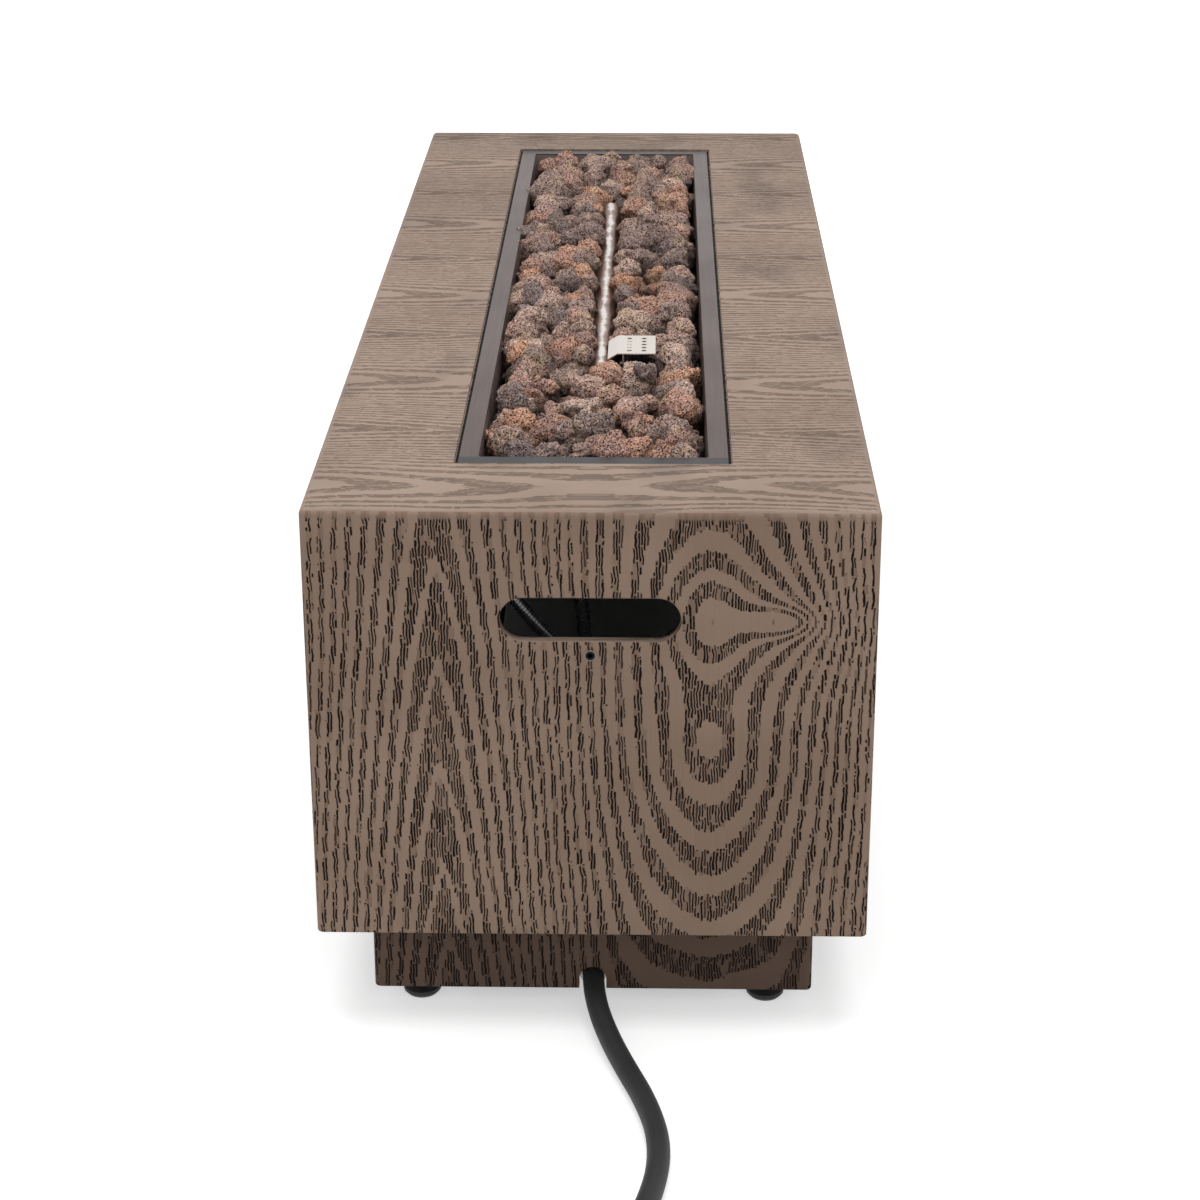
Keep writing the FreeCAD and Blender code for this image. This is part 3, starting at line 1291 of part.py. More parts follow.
def arc_from(start, way, end, backwards=False):
    """The arc from start, leaving along way, to end."""
    chord = end - start
    along = chord / chord.Length
    half = math.acos(max(-1.0, min(1.0, way.dot(along))))
    sideways = way - along * way.dot(along)
    sideways.normalize()
    middle = start + chord * 0.5 + sideways * (chord.Length / 2 * math.tan(half / 2))
    if backwards:
        return Part.Arc(end, middle, start).toShape()
    return Part.Arc(start, middle, end).toShape()


def coil_path(step=0.25):
    """The coil's line: a straight lead in, biarcs of a quarter turn, and a straight lead out."""
    first, first_way = coil_point(0)
    last, last_way = coil_point(coil_turns)
    lead = 2 * hose_radius
    edges = [Part.makeLine(first - first_way * lead, first)]
    for i in range(int(round(coil_turns / step))):
        p0, t0 = coil_point(i * step)
        p1, t1 = coil_point((i + 1) * step)
        edges += biarc(p0, t0, p1, t1)
    edges.append(Part.makeLine(last, last + last_way * lead))
    return Part.Wire(edges)


def coil_least_gap():
    """The least gap between turns, measured on points, leaving out the half turn next to each point."""
    per_turn = 48
    count = int(coil_turns * per_turn)
    spots = [coil_point(i / per_turn)[0] for i in range(count + 1)]
    least = min((p - q).Length for i, p in enumerate(spots) for q in spots[i + per_turn // 2:])
    return least - 2 * hose_radius


def hose_and_coil(start):
    """The free hose from the plinth to the coil, the coil, and the tail down to the regulator."""
    lead = 2 * hose_radius
    entry, entry_way = coil_point(0)
    route = [start] + HOSE_ROUTE + [entry - entry_way * (lead + coil_entry_run), entry - entry_way * lead]
    keep("gas_hose", sweep(bend_path(route, None, "gas hose"), hose_radius, "gas hose"))
    keep("gas_hose_coil", sweep(coil_path(), hose_radius, "gas hose coil"))
    print("coil least gap %.2f" % coil_least_gap())
    last, way = coil_point(coil_turns)
    route = [last + way * lead, last + way * (lead + coil_exit_run)] + TAIL_ROUTE
    keep("gas_hose_tail", sweep(bend_path(route, None, "hose tail"), hose_radius, "hose tail"))
    end_way = route[-1] - route[-2]
    end_way.normalize()
    return route[-1], end_way


def hose_ties():
    """Two straps round the coil's bundle of turns. The coil rests on them."""
    ties = []
    inner = coil_outer - coil_pitch * (coil_turns_inward + tie_swing_share) - hose_radius - tie_clearance
    outer = coil_outer + hose_radius + tie_clearance
    low = tie_thickness
    high = low + 2 * tie_clearance + 2 * hose_radius + coil_rise
    half = (outer - inner) / 2
    for angle in tie_angles:
        loop = end_block((0, (low + high) / 2), half + tie_thickness, (high - low) / 2 + tie_thickness,
                         tie_corner + tie_thickness, -tie_width / 2, tie_width / 2)
        hole = end_block((0, (low + high) / 2), half, (high - low) / 2, tie_corner,
                         -tie_width / 2 - 1, tie_width / 2 + 1)
        tie = loop.cut(hole)
        tie.rotate(V(0, 0, 0), Z_AXIS, 90)
        tie.translate(V((inner + outer) / 2, 0, 0))
        tie.rotate(V(0, 0, 0), Z_AXIS, angle)
        tie.translate(V(coil_centre[0], coil_centre[1], 0))
        ties.append(tie)
    keep("hose_ties", *ties)


def regulator(end, way):
    """The tank regulator at the hose's end: crimp, body, cap, nipple. Gives where the nipple starts."""
    crimp = turned([(0, 0), (crimp_radius, 0), (crimp_radius, crimp_straight),
                    (regulator_boss_radius, ferrule_length), (0, ferrule_length)], tuple(end), way)
    keep("regulator_ferrule", crimp)
    face = end + way * ferrule_length
    centre = face + way * (regulator_boss_length + regulator_radius)
    low = centre.z - regulator_base_height / 2
    rim = regulator_base_height - regulator_rim_height
    waist = regulator_radius - regulator_rim
    base = turned([(0, 0), (waist - regulator_chamfer, 0), (waist, regulator_chamfer), (waist, rim),
                   (regulator_radius, rim), (regulator_radius, regulator_base_height),
                   (0, regulator_base_height)], (centre.x, centre.y, low))
    reach = regulator_boss_length + regulator_radius
    boss = Part.makeCylinder(regulator_boss_radius, 2 * reach, face, way)
    keep("regulator_body", base.fuse(boss).removeSplitter())
    cap = turned([(0, 0), (regulator_radius, 0), (regulator_radius, cap_rim_height),
                  (cap_shoulder_radius, cap_shoulder_height), (cap_top_radius, regulator_cap_height),
                  (0, regulator_cap_height)], (centre.x, centre.y, low + regulator_base_height))
    keep("regulator_cap", cap)
    nipple_start = face + way * (2 * reach)
    collar = nipple_radius + nipple_collar_rim
    nose = nipple_length - nipple_nose
    keep("tank_nipple", turned([(nipple_bore, 0), (collar, 0), (collar, nipple_collar),
                                (nipple_radius, nipple_collar), (nipple_radius, nose),
                                (nipple_tip_radius, nipple_length), (nipple_bore, nipple_length)],
                               tuple(nipple_start), way))
    return nipple_start


def tank_nut(nipple_start, way):
    """The hand nut that turns on the regulator's nipple: grip grooves outside, a threaded mouth inside."""
    start = nipple_start + way * (nipple_collar + seat_gap)
    throat = nipple_radius + turning_gap
    rim = tank_nut_radius - tank_nut_edge
    nut = turned([(throat, 0), (rim, 0), (tank_nut_radius, tank_nut_edge),
                  (tank_nut_radius, tank_nut_length - tank_nut_edge), (rim, tank_nut_length),
                  (tank_nut_bore, tank_nut_length), (tank_nut_bore, tank_nut_web), (throat, tank_nut_web)],
                 tuple(start), way)
    side = way.cross(Z_AXIS)
    side.normalize()
    for i in range(tank_nut_grooves):
        turn = 2 * math.pi * (i + 0.5) / tank_nut_grooves
        out = side * math.cos(turn) + Z_AXIS * math.sin(turn)
        nut = nut.cut(Part.makeCylinder(tank_nut_groove_radius, tank_nut_length + 2,
                                        start - way + out * (tank_nut_radius + tank_nut_groove_out), way))
    keep("tank_nut", nut)
    print("tank nut from %s along %s" % (tuple(round(c, 4) for c in start), tuple(round(c, 5) for c in way)))


def build():
    body_shell()
    plinth()
    base_pan()
    frame_parts()
    inserts()
    feet()
    burner_pan()
    elbow_centre = burner()
    igniter_group()
    lava_rocks()
    control_niche()
    gas_valve()
    spark_module()
    inlet = gas_lines(elbow_centre)
    start = hose_entry(inlet)
    end, way = hose_and_coil(start)
    hose_ties()
    nipple_start = regulator(end, way)
    tank_nut(nipple_start, way)


def export():
    os.makedirs("parts", exist_ok=True)
    for name, shape in PARTS.items():
        if not all(s.isValid() and s.Volume > 0 for s in shape.Solids):
            print("not a valid solid:", name)
        shape.exportStep("parts/" + name + ".step")
    print(len(PARTS), "nodes")


build()
export()
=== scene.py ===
# %% [markdown]
# # A long gas fire pit table
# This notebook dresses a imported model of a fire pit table: a wood-grain casing on a set-back plinth, a steel
# burner pan of lava rock, a gas train and a gas hose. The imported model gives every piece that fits, turns or
# bears load, and it is never moved. What is made here is what the eye reads: the grain of the casing, the
# broken surface of the rocks, the corrugated gas lines and the rubber hose.

# %% Load the frame
import math
import random

import bpy
from mathutils import Matrix, Vector
from mathutils.bvhtree import BVHTree


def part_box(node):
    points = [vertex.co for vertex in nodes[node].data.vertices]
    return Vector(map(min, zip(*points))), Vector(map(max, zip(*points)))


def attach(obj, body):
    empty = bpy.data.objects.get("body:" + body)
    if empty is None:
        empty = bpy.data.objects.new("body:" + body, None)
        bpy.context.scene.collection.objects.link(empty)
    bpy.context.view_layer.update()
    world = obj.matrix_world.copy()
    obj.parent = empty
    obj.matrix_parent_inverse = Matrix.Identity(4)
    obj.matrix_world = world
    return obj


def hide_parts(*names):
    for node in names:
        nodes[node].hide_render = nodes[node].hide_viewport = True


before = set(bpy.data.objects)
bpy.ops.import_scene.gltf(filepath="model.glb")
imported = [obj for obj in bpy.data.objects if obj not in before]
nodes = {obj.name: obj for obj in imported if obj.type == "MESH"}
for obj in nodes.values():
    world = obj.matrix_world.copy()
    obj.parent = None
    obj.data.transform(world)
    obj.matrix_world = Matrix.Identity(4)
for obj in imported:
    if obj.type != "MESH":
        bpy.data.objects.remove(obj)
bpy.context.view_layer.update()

table_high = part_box("body_shell")[1]
top_z = table_high.z
half_length = table_high.x
half_width = table_high.y
print("table", round(2 * half_length, 3), "long,", round(2 * half_width, 3), "wide, top at", round(top_z, 3))

# %% [markdown]
# ## The camera
# The camera stands off the +X end of the table, a little above it, and looks down along its length. Its place
# and lens come from the corners of the casing in the photograph: a lens that is long enough to keep the far
# end nearly as wide as the near one. The optical axis lies above the middle of the picture, which a small
# vertical shift says. It is a plain camera with no depth of field.

# %% The camera
picture_size = 1200
axis_row = 500
camera_place = Vector((2.7759, 0.0547, 1.3082))
camera_way = Vector((-0.93408, -0.02076, -0.35646)).normalized()
camera_roll = math.radians(-0.144)

lens = bpy.data.cameras.new("photo_lens")
lens.lens = 78.65
lens.sensor_width = 36.0
lens.shift_y = (axis_row - picture_size / 2) / picture_size
camera = bpy.data.objects.new("photo_camera", lens)
bpy.context.scene.collection.objects.link(camera)
level_right = camera_way.cross(Vector((0, 0, 1))).normalized()
level_up = level_right.cross(camera_way)
right = level_right * math.cos(camera_roll) + level_up * math.sin(camera_roll)
up = right.cross(camera_way)
turn = Matrix((right, up, -camera_way)).transposed()
camera.matrix_world = Matrix.Translation(camera_place) @ turn.to_4x4()
bpy.context.scene.camera = camera
print("camera at", [round(c, 3) for c in camera_place])

# %% [markdown]
# ## The gas hose
# A propane hose on such a table is about 3 m of rubber, 20 mm thick. It leaves the inlet under the plinth's
# arch, drops to the floor and runs off towards the tank. What the photograph doesn't show is wound into a
# coil with two straps. A hose is best drawn as one smooth spline with a round bevel: the points are where a
# hand would pin it, and the spline finds the bends. The coil's turns come from a loop: in towards the middle,
# up one layer, and out again.

# %% The hose's route
mm = 0.001
hose_radius = 10 * mm
hose_exit = Vector((630, 0, 26)) * mm
# Where it is pinned between the exit and the coil, and after the coil, in millimetres
hose_run = [(668, 0, 26), (706, 6, 19.5), (742, 17, 12.5), (784, 31.5, 10), (836, 50, 10), (892, 62, 10),
            (950, 60, 10), (1020, 42, 10)]
hose_tail = [(1059, 52, 36.5), (1054, 8, 36), (1052, -38, 25), (1062, -84, 12.5), (1089, -124, 11),
             (1129, -149, 21.5), (1173, -158, 21.5)]
coil_centre = Vector((1178, 126, 0)) * mm
coil_outer = 121 * mm
coil_pitch = 20.6 * mm
coil_rise = 20.7 * mm
coil_base = 11.6 * mm
coil_start = math.radians(-98)
turns_inward, turns_climbing, turns_all = 2.0, 0.5, 3.75
print("coil", round(2 * (coil_outer + hose_radius), 3), "m across,", turns_all, "turns")


# %% A point on the coil
def coil_point(turn_count):
    """A point on the coil and the direction there: in below, a climb of half a turn, and out above."""
    if turn_count <= turns_inward:
        radius, rate, height, slope = coil_outer - coil_pitch * turn_count, -coil_pitch, 0.0, 0.0
    elif turn_count >= turns_inward + turns_climbing:
        back = turns_inward - (turn_count - turns_inward - turns_climbing)
        radius, rate, height, slope = coil_outer - coil_pitch * back, coil_pitch, coil_rise, 0.0
    else:
        share = (turn_count - turns_inward) / turns_climbing
        swing = coil_pitch * turns_climbing / math.pi
        radius = coil_outer - coil_pitch * turns_inward - swing * math.sin(math.pi * share)
        rate = -coil_pitch * math.cos(math.pi * share)
        height = coil_rise * (1 - math.cos(math.pi * share)) / 2
        slope = coil_rise * math.pi * math.sin(math.pi * share) / 2 / turns_climbing
    angle = coil_start + 2 * math.pi * turn_count
    out, along = Vector((math.cos(angle), math.sin(angle), 0)), Vector((-math.sin(angle), math.cos(angle), 0))
    spot = coil_centre + out * radius + Vector((0, 0, coil_base + height))
    way = out * rate + along * (2 * math.pi * radius) + Vector((0, 0, slope))
    return spot, way.normalized()


# %% A spline through pinned points
def nurbs_through(name, points, bevel_radius=0.0):
    """An open spline from the first point to the last. Given a radius, it is drawn as a round tube.

    The radius is kept on the points and the bevel is one, so that the curve's own box is the tube's.
    """
    data = bpy.data.curves.new(name, "CURVE")
    data.dimensions = "3D"
    spline = data.splines.new("NURBS")
    spline.points.add(len(points) - 1)
    for pinned, point in zip(spline.points, points):
        pinned.co = (*point, 1.0)
        pinned.radius = bevel_radius or 1.0
    spline.order_u = 3
    spline.use_endpoint_u = True
    spline.resolution_u = 6
    data.bevel_depth = 1.0 if bevel_radius else 0.0
    data.bevel_resolution = 5
    data.use_fill_caps = bevel_radius > 0
    curve = bpy.data.objects.new(name, data)
    bpy.context.scene.collection.objects.link(curve)
    return curve


# %% The hose
points_per_turn = 24
lead, lead_far, tail_far = 2 * hose_radius, 44 * mm, 34 * mm
entry, entry_way = coil_point(0)
leave, leave_way = coil_point(turns_all)
route = [hose_exit] + [Vector(p) * mm for p in hose_run]
route += [entry - entry_way * (lead + lead_far), entry - entry_way * lead]
route += [coil_point(i / points_per_turn)[0] for i in range(int(turns_all * points_per_turn) + 1)]
route += [leave + leave_way * lead, leave + leave_way * (lead + tail_far)]
route += [Vector(p) * mm for p in hose_tail]
hose = nurbs_through("rubber_gas_hose", route, hose_radius)
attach(hose, "root")
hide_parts("gas_hose", "gas_hose_coil", "gas_hose_tail")
print("hose pinned at", len(route), "points")

# %% [markdown]
# ## Writing finishes as sums
# A finish is a small program: places go in, and a colour, a roughness and a height come out. Written node by
# node it is unreadable, so a socket is wrapped in a class whose plus and times add the Math node for it.
# Every other node comes from one method of a board, which stands for one node tree, of a finish or of the
# world.

# %% Sums of signals
class Signal:
    """One output of a board's nodes. Arithmetic on it adds the nodes for that sum."""

    def __init__(self, board, socket):
        self.board, self.socket = board, socket

    def math(self, operation, *others):
        """A Math node that takes this signal first."""
        return self.board.node("Math", {"operation": operation}, dict(enumerate((self,) + others)))

    def flipped(self, operation, other):
        """A Math node that takes this signal second."""
        return self.board.node("Math", {"operation": operation}, {0: other, 1: self})

    def __add__(self, other): return self.math("ADD", other)
    def __radd__(self, other): return self.flipped("ADD", other)
    def __sub__(self, other): return self.math("SUBTRACT", other)
    def __rsub__(self, other): return self.flipped("SUBTRACT", other)
    def __mul__(self, other): return self.math("MULTIPLY", other)
    def __rmul__(self, other): return self.flipped("MULTIPLY", other)
    def __pow__(self, other): return self.math("POWER", other)
    def __gt__(self, other): return self.math("GREATER_THAN", other)
    def __lt__(self, other): return self.math("LESS_THAN", other)
    def __neg__(self): return self.math("MULTIPLY", -1.0)
    def __abs__(self): return self.math("ABSOLUTE")


# %% A board of nodes
class Board:
    """A node tree, and the one way in which nodes come on it."""

    def __init__(self, tree):
        self.nodes, self.links = tree.nodes, tree.links

    def node(self, kind, settings, values, output=0):
        """Adds a node: its settings first, then the values or links of its sockets."""
        made = self.nodes.new("ShaderNode" + kind)
        for key, value in settings.items():
            setattr(made, key, value)
        for key, value in values.items():
            self.feed(made.inputs[key], value)
        return Signal(self, made.outputs[output])

    def feed(self, socket, value):
        """Links a signal to a socket, or sets a plain value on it."""
        if isinstance(value, Signal):
            self.links.new(value.socket, socket)
        else:
            socket.default_value = value

    def seen_straight(self):
        """One where the camera or a shiny surface looks, and nought where light only falls."""
        rays = [self.node("LightPath", {}, {}, ray) for ray in ("Is Camera Ray", "Is Glossy Ray")]
        return rays[0].math("MAXIMUM", rays[1])


# %% The finish helper
class Finish(Board):
    """One surface finish. Constants are set on the shader's own sockets, by name."""

    def __init__(self, name, **constants):
        self.material = bpy.data.materials.new(name)
        self.material.use_nodes = True
        super().__init__(self.material.node_tree)
        self.shader = self.nodes["Principled BSDF"]
        for socket, value in constants.items():
            self.shader.inputs[socket.replace("_", " ").title().replace("Ior", "IOR")].default_value = value

    def place(self):
        """The place on the piece in metres: whole, and as three numbers."""
        spot = self.node("TexCoord", {}, {}, "Object")
        return spot, [self.node("SeparateXYZ", {}, {0: spot}, i) for i in range(3)]

    def facing(self):
        """Which way the surface faces, as three numbers."""
        way = self.node("TexCoord", {}, {}, "Normal")
        return [self.node("SeparateXYZ", {}, {0: way}, i) for i in range(3)]

    def point(self, x, y, z=0.0):
        """A place from its three numbers."""
        return self.node("CombineXYZ", {}, {0: x, 1: y, 2: z})

    def cloud(self, spot, scale=1.0, detail=2.0, roughness=0.5):
        """Smooth noise from 0 to 1 about a half."""
        return self.node("TexNoise", {},
                         {"Vector": spot, "Scale": scale, "Detail": detail, "Roughness": roughness})

    def luck(self, spot, dimensions, output):
        """A throw of the dice for each whole place: one number as Value, or three as Color."""
        return self.node("TexWhiteNoise", {"noise_dimensions": dimensions}, {"Vector": spot}, output)

    def cells(self, spot, scale):
        """How far a place lies from the middle of its cell."""
        return self.node("TexVoronoi", {}, {"Vector": spot, "Scale": scale}, "Distance")

    def ease(self, value, low, high, to_low=0.0, to_high=1.0):
        """A soft step from one level to another."""
        limits = {"From Min": low, "From Max": high, "To Min": to_low, "To Max": to_high}
        return self.node("MapRange", {"interpolation_type": "SMOOTHSTEP"}, {"Value": value, **limits})

    def blend(self, low, high, share):
        """From one colour to another."""
        return self.node("Mix", {"data_type": "RGBA"}, {0: share, 6: low, 7: high}, 2)

    def relief(self, height, depth, strength=1.0):
        """Turns a height from 0 to 1, of a real depth in metres, into a bump."""
        bump = self.node("Bump", {}, {"Height": height, "Distance": depth, "Strength": strength})
        self.feed(self.shader.inputs["Normal"], bump)

    def set(self, **signals):
        """Feeds the shader's sockets that change over the surface."""
        for socket, value in signals.items():
            self.feed(self.shader.inputs[socket.replace("_", " ").title()], value)
        return self


# %% [markdown]
# ## The light
# A soft studio: an even white surround, one large lamp overhead and a weak one off the near end. The camera
# and shiny metal see the surround as white, and it lights the table less than that. The lamps stay at a level
# at which a colour renders about as it is written. The floor comes last.

# %% The light
world = bpy.data.worlds.new("white_studio")
world.use_nodes = True
bpy.context.scene.world = world
fill_strength = 0.62
surround = Board(world.node_tree)
background = surround.nodes["Background"]
surround.feed(background.inputs["Color"], (1, 1, 1, 1))
surround.feed(background.inputs["Strength"], fill_strength + surround.seen_straight() * (1 - fill_strength))


def lamp(name, place, aim, width, watts):
    """A square area lamp that points at a place."""
    data = bpy.data.lights.new(name, "AREA")
    data.size = width
    data.energy = watts
    made = bpy.data.objects.new(name, data)
    made.location = place
    made.rotation_euler = (Vector(aim) - Vector(place)).to_track_quat("-Z", "Y").to_euler()
    bpy.context.scene.collection.objects.link(made)


lamp("overhead_lamp", (0.5, -0.1, 3.4), (0, 0, 0.3), 2.6, 70)
lamp("end_lamp", (3.6, 0.5, 1.9), (0.7, 0, 0.3), 1.6, 11)
print("surround at", fill_strength, "and two lamps")


# %% Colours, written as the eye reads them from 0 to 255, and turned to linear light here
def paint(red, green, blue):
    """A linear colour from an everyday one."""
    def linear(level):
        share = level / 255
        return share / 12.92 if share <= 0.04045 else ((share + 0.055) / 1.055) ** 2.4
    return (linear(red), linear(green), linear(blue), 1.0)


# %% [markdown]
# ## The embossed wood grain
# The casing is a moulded shell with the grain of flat-sawn ash pressed into it and stained dark. Growth rings
# show where a plane cuts them: straight lines on the flanks, nested arches where the cut runs along a ring,
# and ovals round a knot. One number does it all, the count of rings between a place and the heart: its whole
# steps are the rings. A valley in it makes arches that point up, a soft ridge makes rounded ones that point
# down, a bump on the ridge makes an eye, and the knot pushes the lines aside, as the branch that grew there
# did.
#
# The pores are short strokes in columns that waver a little. Each column asks for the ring count on its own
# middle line, so a slanting ring shows as a row of short upright strokes, as on real wood. Ends and sides
# have upright grain, the top has it across the table.

# %% The rings: u runs across the grain and v along it, both in metres
ring_rate, ring_rate_growth = 52.0, 330.0  # rings in a metre at an arch's axis, and how they crowd off it
arch_up, arch_down = -0.132, 0.104  # the axes of the two kinds of arch
arch_up_round, arch_down_round = 0.004, 0.024
half_way = (arch_down - arch_up) / 2
grain_repeat = 4 * half_way
grain_start = arch_up - half_way
ridge_width, valley_width = 0.085, 0.10
rise_from = 0.25  # the height at which the rings neither rise nor fall
valley_rise, straight_rise, plain_rise = 6.2, 4.0, -9  # rings in a metre of height
ridge_low, ridge_high = 0.262, 0.45  # the ridge is level between these heights
fall_below, fall_above = 22.4, 16
ridge_shift, ring_shift = 1.24, 0.061
eye = ((0.104, 0.295), 0.022, 0.024, 0.60)  # a hump's middle, its width and height, and its rise in rings
heart = ((0.104, 0.4085), 0.037, 0.044, 1.74)


def rings_out(distance, rounding):
    """The count of rings at a distance from an arch's axis. Works on numbers and on signals."""
    arm = (distance * distance + rounding * rounding) ** 0.5 - rounding
    return arm * ring_rate + arm * arm * ring_rate_growth


rings_on_ridge = rings_out(half_way, arch_up_round) + rings_out(half_way, arch_down_round)
print(round(rings_on_ridge, 1), "rings from the valley to the ridge")


# %% Hills and bends in the count of rings
def hill(u, width):
    """One on a line, falling off beside it."""
    share = u * (1 / width)
    return (-(share * share)).math("EXPONENT")


def hump(u, v, middle, wide, tall, rise):
    """A round hill of the given rise."""
    return hill(u - middle[0], wide) * hill(v - middle[1], tall) * rise


def past(v, start, rounding=0.012):
    """How far a value has gone past a start, with a soft bend there."""
    beyond = v - start
    return (beyond + (beyond * beyond + rounding * rounding) ** 0.5) * 0.5


# %% The count of rings at a place
def ring_count(u, v, plain):
    """How many rings lie between a place and the heart. Where plain is one there are no eyes."""
    valley = rings_out(u - arch_up, arch_up_round)
    ridge = rings_on_ridge - rings_out(u - arch_down, arch_down_round)
    beyond = u > arch_up + half_way
    on_ridge = hill(u - arch_down, ridge_width) + hill(u - arch_down + grain_repeat, ridge_width)
    rise_beside = hill(u - arch_up, valley_width) * valley_rise + straight_rise
    rings = valley + beyond * (ridge - valley) + (1 - on_ridge) * rise_beside * (v - rise_from) - ring_shift
    fall = past(ridge_low - v, 0.0) * fall_below + past(v, ridge_high) * fall_above
    on_ends = on_ridge * (round(rings_on_ridge) - rings_on_ridge - ridge_shift - fall)
    on_ends = on_ends + hump(u, v, *eye) + hump(u, v, *heart)
    return rings + on_ends * (1 - plain) + on_ridge * (v - rise_from) * plain_rise * plain


# %% Across and along the grain, on ends, sides and top
top_stretch = 0.60  # the top's grain is narrower by this share


def on_grain(f, x, y, z):
    """Where a place lies across and along the grain, and whether it is on the top."""
    face_x, face_y, face_z = f.facing()
    on_top = abs(face_z) > 0.7
    on_end = abs(face_x) > abs(face_y)
    sway = (f.cloud(f.point(x * 3.1, y * 3.1, z * 1.7), 1.0, 1.0) - 0.5) * 0.022
    drift = (f.cloud(f.point(x * 14, y * 14, z * 9), 1.0, 1.0) - 0.5) * 0.007
    long_x = (x + sway * 2.2) * (on_top * top_stretch + 1)
    repeats = ((long_x - grain_start) * (1 / grain_repeat)).math("FLOOR")
    wrapped = long_x - repeats * grain_repeat + drift
    end_y = y * x.math("SIGN") + sway * 0.25 + drift
    across = wrapped * on_top + (end_y * on_end + wrapped * (1 - on_end)) * (1 - on_top)
    off_middle = (y * y + 0.0009) ** 0.5  # on the top, the grain is mirrored about the table's middle line
    along = (0.62 - off_middle * 1.1) * on_top + z * (1 - on_top)
    return across, along, on_top


# %% The strokes
pore_pitch, pore_length = 0.00250, 0.0280
knot_around = ((0.180, 0.409), 0.046, 0.050, 0.030)  # its middle, width and height, and how far it pushes
knot_core = ((0.170, 0.409), 0.034, 0.013, 0.034)


def strokes_on(f, across, along, on_top):
    """How deep a stroke is at a place, and how strong the stain of its ring is between the strokes."""
    # Columns that waver, and strokes of their own length in each
    waver = (f.cloud(f.point(across * 60, along * 55, on_top), 1.0, 3.0, 0.6) - 0.5) * 2.4
    columns = across * (1 / pore_pitch) + waver
    number = columns.math("FLOOR")
    in_column = abs(columns - number - 0.5)
    rows = along * (1 / pore_length) + f.luck(f.point(number, on_top), "2D", "Value") * 7.0
    row = rows.math("FLOOR")
    in_row = rows - row
    lucks = f.luck(f.point(number, row, on_top), "3D", "Color")
    luck, luck_of_ends, luck_of_width = [f.node("SeparateXYZ", {}, {0: lucks}, k) for k in range(3)]

    # The ring that each column asks for: its late part is dark, and more of it near an arch's axis
    column_at = (number + 0.5 - waver) * pore_pitch
    knot = hump(column_at, along, *knot_around) + hump(column_at, along, *knot_core)
    u = column_at - knot * (1 - on_top)
    phase = (ring_count(u, along, on_top) + (luck - 0.5) * 0.10).math("FRACT")
    share = hill(u - arch_up, 0.020) * 0.33 + hill(u - arch_down, 0.030) * 0.06 + 0.50
    band = f.ease(phase, 1 - share, 1.03 - share)
    length = 0.96 - luck_of_ends ** 3 * 0.5
    ends = f.ease(in_row, 0.0, 0.02) * (1 - f.ease(in_row, length - 0.02, length))
    reach = luck_of_width * 0.11 + 0.21
    sides = 1 - f.ease(in_column, reach - 0.04, reach + 0.05)
    stroke = sides * ends * band * (0.74 + 0.26 * f.ease(luck, 0.02, 0.30))
    return stroke, band * (0.20 + luck_of_width * 0.40)


# %% The casing's grain, and the plinth's
bare_edge, full_edge = 0.0060, 0.0095  # strokes end between these distances from the upper edge
bare_rim, full_rim = 0.0035, 0.006  # and on the top, between these distances from its ends and sides
shell_wall, shell_top = 0.010, 0.0117
# The inside of the casing is painted in shade from this far within its walls
inside_shade_edge = 0.0003  # the dark of the inside starts this far within the wall
# The rebate gap round the pan is painted in shade within these half sizes and to this depth below the top
rebate_half_x, rebate_half_y, rebate_from = 0.6011, 0.1231, 0.0125
# The share of the grain's contrast that is kept on the top, where painted light washes it out
top_contrast = 0.55
# The near-black of the painted shade inside the casing and in the rebate gap
inside_shade_colour = paint(5, 4, 4)


